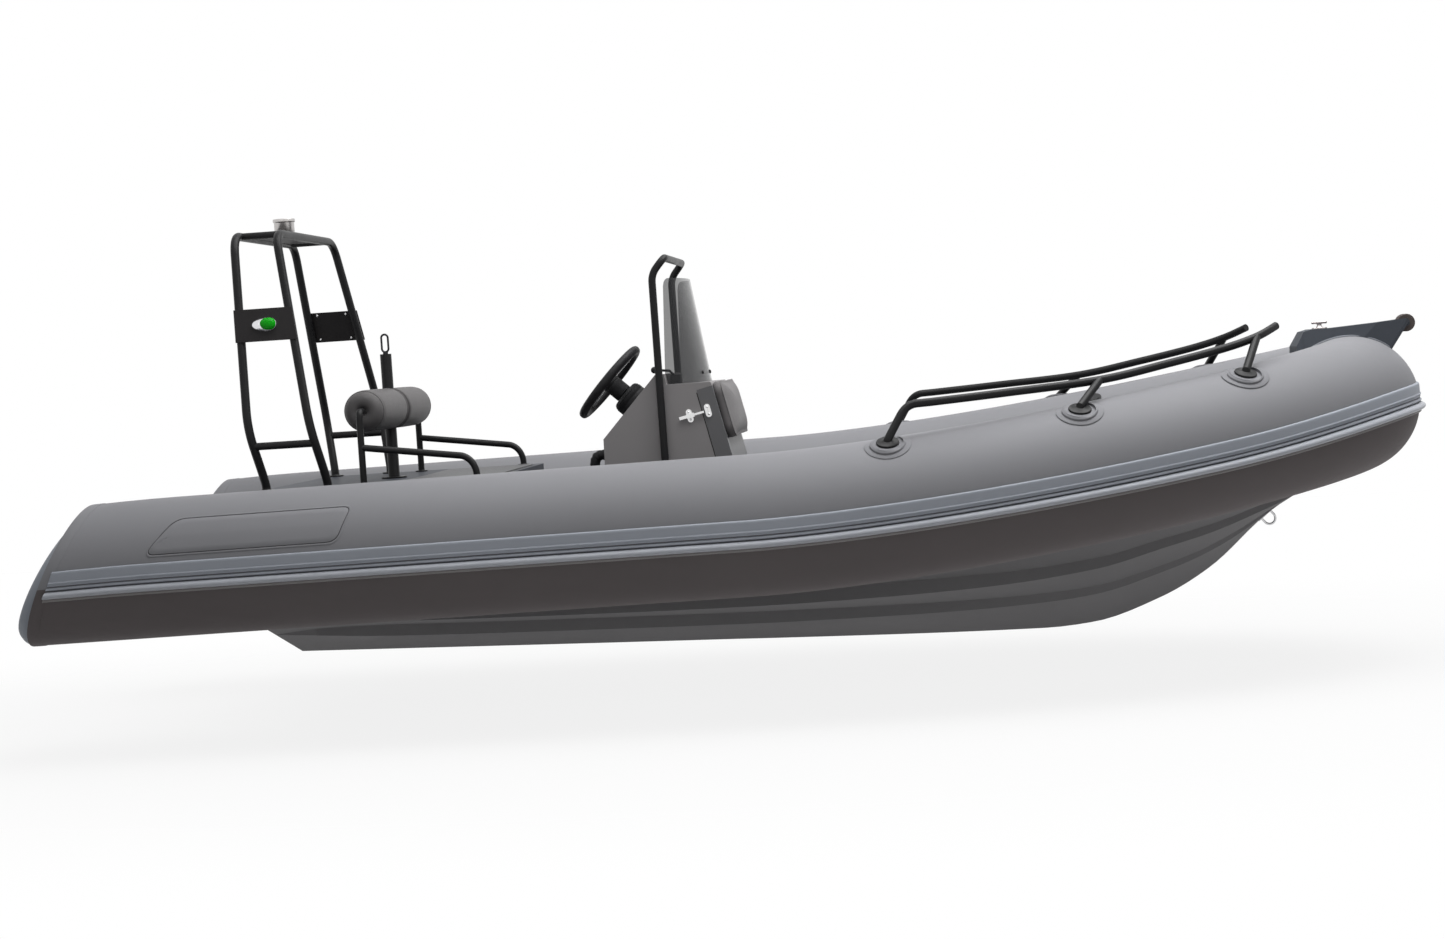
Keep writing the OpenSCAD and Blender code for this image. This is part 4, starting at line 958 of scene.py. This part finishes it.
rim_rings = []
for a in turns(96):
    out, grip = from_hub(a), grip_half + grip_wave * math.cos(grips * a)
    rim_rings.append([wheel_at + out * (rim_radius + grip * math.cos(b)) + helm_axis * rim_half * math.sin(b)
                      for b in turns(24)])
rim = skin("rim", rim_rings, path_closed=True, sharp=80)
hub_profile = mm((0, -71), (35, -71), (36.2, -69.5), (36.2, -19), (34.5, -16.5), (34.5, -14.5), (36.2, -12),
                 (36.2, 1), (34.5, 6), (30, 9), (20, 11.2), (8, 11.9), (0, 12))
wheel_parts = [finished(rim, moulded_plastic("wheel rim", (0.014, 0.014, 0.015), 0.38, 500)),
               finished(lathe("hub", hub_profile, wheel_at, helm_axis), black_plastic)]
spoke_sizes = mm((30, 8.8, 2.8), (45, 9, 2.9), (75, 7.8, 2.9), (110, 7.5, 2.8), (135, 8.8, 2.8),
                 (150, 9, 2.8))
spoke_section = [(-1, -0.5), (-0.85, -1), (0, -1), (0.85, -1), (1, -0.5), (1, 0.5), (0.85, 1), (0, 0.75),
                 (-0.85, 1), (-1, 0.5)]
for a in (30, 150, 270):
    out = from_hub(rad(a))
    across = helm_axis.cross(out)
    spoke_rings = []
    for r, half, thick in spoke_sizes:
        centre = wheel_at + out * r
        spoke_rings.append([centre + across * (half * u) + helm_axis * (thick * v) for u, v in spoke_section])
    wheel_parts.append(finished(skin("spoke", spoke_rings, sharp=50), stainless))
settle(joined("wheel", wheel_parts), black_plastic, "black_plastic", "steering_wheel", body="wheel")

# Throttle box and rigging boot: the engine control on the flat top, and the ribbed rubber boot that takes the
# engine's cables from the console's rear wall to the sole.
moulded_edges("throttle", moulded_plastic("control box", (0.016, 0.016, 0.017), 0.36), 0.003)
boot_x, boot_y, boot_top = -0.557, -0.1209, 0.499
boot_radius, boot_wave, boot_pitch, boot_step = 0.0192, 0.0017, 0.014, 0.0035
boot_collar = mm((0, 0), (33, 0), (33, 4), (30, 8), (21, 8.5))
boot_corners = ((-0.491, boot_top), (boot_x + 0.004, boot_top), (boot_x, boot_top - 0.080), (boot_x, sole_top))
boot_bends = bent([(x, boot_y, z) for x, z in boot_corners], 0.046)
boot_path = boot_bends[:1]
for p, q in zip(boot_bends, boot_bends[1:]):
    steps = max(1, int((q - p).length / boot_step))
    boot_path += [mix(p, q, k / steps) for k in range(1, steps + 1)]
boot_rings = pipe_rings(boot_path, 1.0, 28)
run = 0.0
for i, p in enumerate(boot_path):
    run += (p - boot_path[i - 1]).length if i else 0
    r = boot_radius + boot_wave * math.cos(2 * math.pi * run / boot_pitch)
    boot_rings[i] = [p + (q - p).normalized() * r for q in boot_rings[i]]
boot_parts = [skin("boot", boot_rings, sharp=60), lathe("collar", boot_collar, (boot_x, boot_y, sole_top))]
boot_rubber = moulded_plastic("boot rubber", (0.010, 0.010, 0.011), 0.5)
settle(joined("rigging_boot", boot_parts), boot_rubber, "black_plastic", "rigging_boot")

# Bow rails: a black pipe a side that curves over the tube on three flanged feet and ends bent up, free.
foot_turns = [math.degrees(math.asin(f ** (1 / bow_fullness))) for f in (0.218, 0.514, 0.772)]
foot_angle, pad_rise, rail_pipe, foot_stub = 65, 0.014, 0.029, 0.008
rail_flange = mm((0, -4.8), (40, -4.8), (40, 0), (38.5, 2), (20, 3), (15.5, 6))


def foot_up(i):
    return cosd(foot_angle) * tube_out(foot_turns[i]) + up(sind(foot_angle))


def foot_top(i, rise=0):
    return on_bow(foot_turns[i], foot_angle) + (pad_rise + rise) * foot_up(i)


rail_a, rail_b = foot_top(0) + Vector((0.071, 0.043, 0.124)), foot_top(1) + Vector((0.081, 0.126, 0.092))
rail_c, rail_tip = foot_top(2) + Vector((0.062, 0.140, 0.122)), foot_top(2) + Vector((0.141, 0.220, 0.156))
rail_bar = flowing([rail_a + Vector((0.083, 0.005, 0.003)),
                    mix(rail_a, rail_b, 0.5) + Vector((0.007, -0.020, -0.002)), rail_b,
                    mix(rail_b, rail_c, 0.43) + Vector((0, -0.008, -0.008)),
                    mix(rail_b, rail_c, 0.79) + Vector((0, -0.012, -0.009)), rail_c, rail_tip])
rail_path = bent([foot_top(0), foot_top(0, foot_stub), rail_a, rail_bar[0]], 0.045) + rail_bar[1:]
for side, turned in both_sides:
    parts = [pipe("bar", [turned(p) for p in rail_path], rail_pipe)]
    for i, top in ((1, rail_b), (2, rail_c)):
        parts.append(pipe("leg", [turned(p) for p in (foot_top(i), foot_top(i, foot_stub), top)], rail_pipe))
    parts += [lathe("flange", rail_flange, turned(foot_top(i)), turned(foot_up(i)), 40) for i in range(3)]
    settle(joined("bow_rail_pipe_" + side, parts), black_pipe, "black_pipe", "bow_rail_" + side)

# Rail pads: two stacked discs of grey coated fabric under each foot, moulded to the tube and glued down.
def nearest_turn(p, turn):
    for _ in range(12):
        along = tube_centre(turn + 0.3) - tube_centre(turn - 0.3)
        turn += clamp((p - tube_centre(turn)).dot(along) / along.length_squared * 0.6, -4, 4)
    return turn


def over_tube(p, turn, lift):
    """The point over p on the tube's surface, lifted off it."""
    centre = tube_centre(nearest_turn(p, turn))
    return centre + (p - centre).normalized() * (tube_radius + lift)


pad_grey = coated_fabric("pad fabric", (0.190, 0.191, 0.203), 0.46)
pad_profile = mm((1, 0.5), (50, 0.5), (82, 0.2), (82.5, 1.8), (81, 2.6), (63.5, 3), (62.5, 4.5), (62, 8.5),
                 (60.5, 10), (56, 10.6))
pad_rings = []
for i, turn in enumerate(foot_turns):
    along = Vector((-tube_out(turn).y, tube_out(turn).x, 0))
    across = foot_up(i).cross(along)
    rings = []
    for r, lift in pad_profile:
        disc = circle(on_bow(turn, foot_angle), r, along, across, 48)
        rings.append([over_tube(p, turn, lift) for p in disc])
    rings += [circle(foot_top(i, -0.0052), r, along, across, 48) for r in (0.054, 0.040, 0.001)]
    pad_rings.append(rings)
for side, turned in both_sides:
    parts = [skin("pad", all_turned(turned, rings), sharp=50) for rings in pad_rings]
    settle(joined("rail_pad_discs_" + side, parts), pad_grey, "pad", "rail_pads_" + side)

# Bow step: a blue-grey moulding glued over the bow tube, with a rounded lip along its foot. Its nose is a fork
# for the anchor roller, a rubber roll that turns on a steel pin.
moulded_edges("bow_step", gelcoat("bow step moulding", (0.056, 0.062, 0.073), 0.55, 0.06))
moulded_edges("bow_roller", moulded_plastic("roller rubber", (0.055, 0.046, 0.044), 0.5), 0.003)
bow_tip_x = bow_start + bow_reach
crown_height = tube_height(bow_tip_x) + tube_radius
step_depth, lip_width, lip_aft, lip_fore = -0.112, 0.009, -0.19, 0.150
step_cuts = mm((-196, -26, 99, 129), (-166, 26, 87, 135), (-134, 34, 84, 135), (-56, 34, 75, 123),
               (111, 44, 54, 76.5), (222, 53, 40.4, 44.4), (231, 44, 39.9, 43.4))
lip_path = []
for k in range(60):
    x = mix(lip_aft, lip_fore, k / 59)
    before, after = next((p, q) for p, q in zip(step_cuts, step_cuts[1:]) if x <= q[0])
    f = (x - before[0]) / (after[0] - before[0])
    top, wide, foot = [mix(a, b, f) for a, b in zip(before[1:], after[1:])]
    low, high, turn = 0.0, 1.0, 80
    for _ in range(24):
        half = (low + high) / 2
        at = Vector((bow_tip_x + x, -mix(foot, wide, half), crown_height + mix(step_depth, top, half)))
        turn = min(90, nearest_turn(at, turn))
        if (at - tube_centre(turn)).length < tube_radius + 0.001:
            low = half
        else:
            high = half
    lip_path.append(at)
lip_parts = [pipe("lip", [turned(p) for p in lip_path], lip_width, 16) for _, turned in both_sides]
settle(joined("step_lip", lip_parts), gelcoat("step lip", (0.165, 0.175, 0.195), 0.34), "cap")

# Cleat and eye: a stainless cleat on the step with one waisted post, and a welded towing ring on the stem.
cleat_at = Vector((bow_tip_x - 0.095, 0, crown_height + 0.034))
cleat_edge = rounded_outline(0.056, 0.034, 0.012, 6)
cleat_plate = [[cleat_at + Vector((u * size, v * size, lift)) for u, v in cleat_edge]
               for size, lift in ((1, 0), (1, 0.003), (0.94, 0.0045), (0.6, 0.005))]
cleat_post = mm((15, 4), (12.5, 6.5), (9.5, 10), (8.5, 14), (9.2, 18), (11, 21.5), (0, 23))
horn = mm((0, 29), (3.6, 28.5), (5.2, 26), (5, 18), (6.2, 8))
cleat_bar = [(r, -h) for r, h in horn] + [(0.0066, 0)] + horn[::-1]
cleat_parts = [skin("plate", cleat_plate, sharp=40), lathe("post", cleat_post, cleat_at, sides=32),
               lathe("bar", cleat_bar, cleat_at + up(0.0235), (1, 0, 0), 32)]
cleat_steel = bright_steel("cleat steel", (0.42, 0.39, 0.385), 0.3)
settle(joined("mooring_cleat", cleat_parts), cleat_steel, "stainless", "bow_cleat")
moulded_edges("bow_eye", stainless, 0.001)

# Air valves: black screw caps sunk in the tubes, inboard of their crowns by the middle rail feet.
for side, _ in both_sides:
    moulded_edges("valve_" + side, black_plastic, 0.002)

# Bow tape: a strip of fabric glued down the bow's middle, from the step's foot to the fender.
tape_edge = [(1.6, -0.002), (1.6, 0.0010), (1.4, 0.0018), (0, 0.0020)]
tape_top, tape_foot, tape_steps = 52, 13, 30
tape_rings = []
for k in range(tape_steps + 1):
    angle = mix(tape_top, tape_foot, k / tape_steps)
    half = [on_bow(90 - d, angle, tube_radius + lift) for d, lift in tape_edge]
    tape_rings.append(half + [flipped(p) for p in reversed(half[:-1])])
settle(skin("bow_tape", tape_rings, sharp=50), cap_finish, "cap")

# Badge patch: a blank tab of the tube's fabric glued to each quarter, with a groove inside its edge that is
# painted dark as shade. Its corners are places on the tube, x along it and degrees round it.
patch_corners = [Vector(p) for p in ((-2.03, 12.5), (-1.33, 12.5), (-1.28, 47), (-1.92, 47))]
patch_middle, patch_half = Vector((-1.64, 29.5)), (0.37, 0.075)
patch_layers = mm((0, 0.2), (0, 1.2), (1, 1.8), (6, 2.1), (6.6, 1.6), (7.4, 0.8), (8.6, 0.8), (9.4, 1.6),
                  (10, 2.1), (30, 1.8), (60, 1.8), (74, 1.8))
groove_shade_layers = range(4, 7)
short_reach, long_reach, corner_steps = 0.0572, 0.234, 16


def patch_edge(inset):
    rounded = []
    for k, corner in enumerate(patch_corners):
        reaches = (short_reach, long_reach) if k % 2 else (long_reach, short_reach)
        neighbours = patch_corners[k - 1], patch_corners[(k + 1) % 4]
        a, b = [mix(corner, other, reach) for other, reach in zip(neighbours, reaches)]
        rounded += [bend(a, corner, b, j / corner_steps) for j in range(corner_steps + 1)]
    points = []
    for p, q in zip(rounded, rounded[1:] + rounded[:1]):
        steps = max(1, int(max(abs(q.x - p.x) / 0.02, abs(q.y - p.y) / 3)))
        points += [mix(p, q, j / steps) - patch_middle for j in range(steps)]
    along, round_it = [(half - inset) / half for half in patch_half]
    return [(patch_middle.x + p.x * along, patch_middle.y + p.y * round_it) for p in points]


# The groove's faces take a dark grey: painted shade.
patch_groove_painted_shade = coated_fabric("patch groove, painted shade", (0.035, 0.034, 0.036), 0.6)
patch_rings = [[on_side(x, a, tube_radius + lift) for x, a in patch_edge(inset)]
               for inset, lift in patch_layers]
for side, turned in both_sides:
    patch = skin("badge_patch_" + side, all_turned(turned, patch_rings), sharp=60)
    settle(patch, upper_grey, "collar")
    patch.data.materials.append(patch_groove_painted_shade)
    for face in patch.data.polygons:
        layer = min(face.vertices) // len(patch_rings[0])
        face.material_index = 1 if len(face.vertices) == 4 and layer in groove_shade_layers else 0

# Studio: a pale floor below the keel, as the boat is shown afloat, that fades out into a plain sky. Both show
# white. A wide soft light hangs overhead, with weaker ones over the bow, on the camera's side and off
# the floor.
afloat, floor_half_x, floor_half_y = 0.18, 12, 9
floor_z = cad_box[0][2] - afloat
white, sky_light, floor_white = (1, 1, 1, 1), 0.31, 0.85
floor_corners = [(x * floor_half_x, y * floor_half_y, floor_z)
                 for x, y in ((-1, -1), (1, -1), (1, 1), (-1, 1))]
floor_mesh = bpy.data.meshes.new("floor")
floor_mesh.from_pydata(floor_corners, [], [(0, 1, 2, 3)])
floor = placed("floor", floor_mesh)
paper = Finish("floor paper", Base_Color=(0.55, 0.55, 0.55, 1), Roughness=0.9)
spread = paper.node("ShaderNodeMapping", Vector=paper.place, Scale=(1 / 3.4, 1 / 1.9, 0))
from_middle = paper.node("ShaderNodeVectorMath", {"operation": "LENGTH"}, out=1, n0=spread)
paper.feed(Alpha=paper.node("ShaderNodeMapRange", {"interpolation_type": "SMOOTHSTEP"}, Value=from_middle,
                            From_Min=0.6, From_Max=1.9, To_Min=1.0, To_Max=0.0))


def shown_white(finish):
    """1 for the rays that show the background: to the camera, off metal and through glass."""
    seen = finish.node("ShaderNodeLightPath", out="Is Camera Ray")
    for ray in ("Is Glossy Ray", "Is Transmission Ray"):
        seen = seen.maths("MAXIMUM", finish.node("ShaderNodeLightPath", out=ray))
    return seen


glow = paper.node("ShaderNodeEmission", Color=white, Strength=1.0)
matt = Wire(paper.tree, paper.shader.outputs[0])
pale = paper.node("ShaderNodeMixShader", n0=shown_white(paper) * floor_white, n1=matt, n2=glow)
plug(paper.tree, pale, paper.tree.nodes["Material Output"].inputs["Surface"])
floor_mesh.materials.append(paper.block)


def softbox(name, place, aim, size, power):
    lamp = bpy.data.lights.new(name, "AREA")
    lamp.shape, lamp.size, lamp.size_y, lamp.energy = "RECTANGLE", size[0], size[1], power
    holder = placed(name, lamp)
    holder.location = place
    holder.rotation_euler = (Vector(aim) - Vector(place)).to_track_quat("-Z", "Y").to_euler()
    return holder


softbox("overhead light", (1.2, -0.3, 6.0), (0.8, 0, 0.3), (8, 4.5), 475)
softbox("bow light", (3.4, -1.2, 5.2), (1.9, -0.3, 0.6), (2.5, 2.5), 150)
softbox("camera side light", (-3.0, -7.5, 4.2), (-0.6, 0, 0.4), (5, 3), 14)
bounce = softbox("light off the floor", (0.4, -0.35, floor_z + 0.02), (0.4, -0.35, 1), (5.0, 0.8), 5)
bounce.visible_camera = bounce.visible_glossy = False
sky = Finish("studio sky", bpy.data.worlds, "Background", Color=white)
sky.feed(Strength=sky.node("ShaderNodeMapRange", Value=shown_white(sky), To_Min=sky_light, To_Max=1.0))
scene.world = sky.block
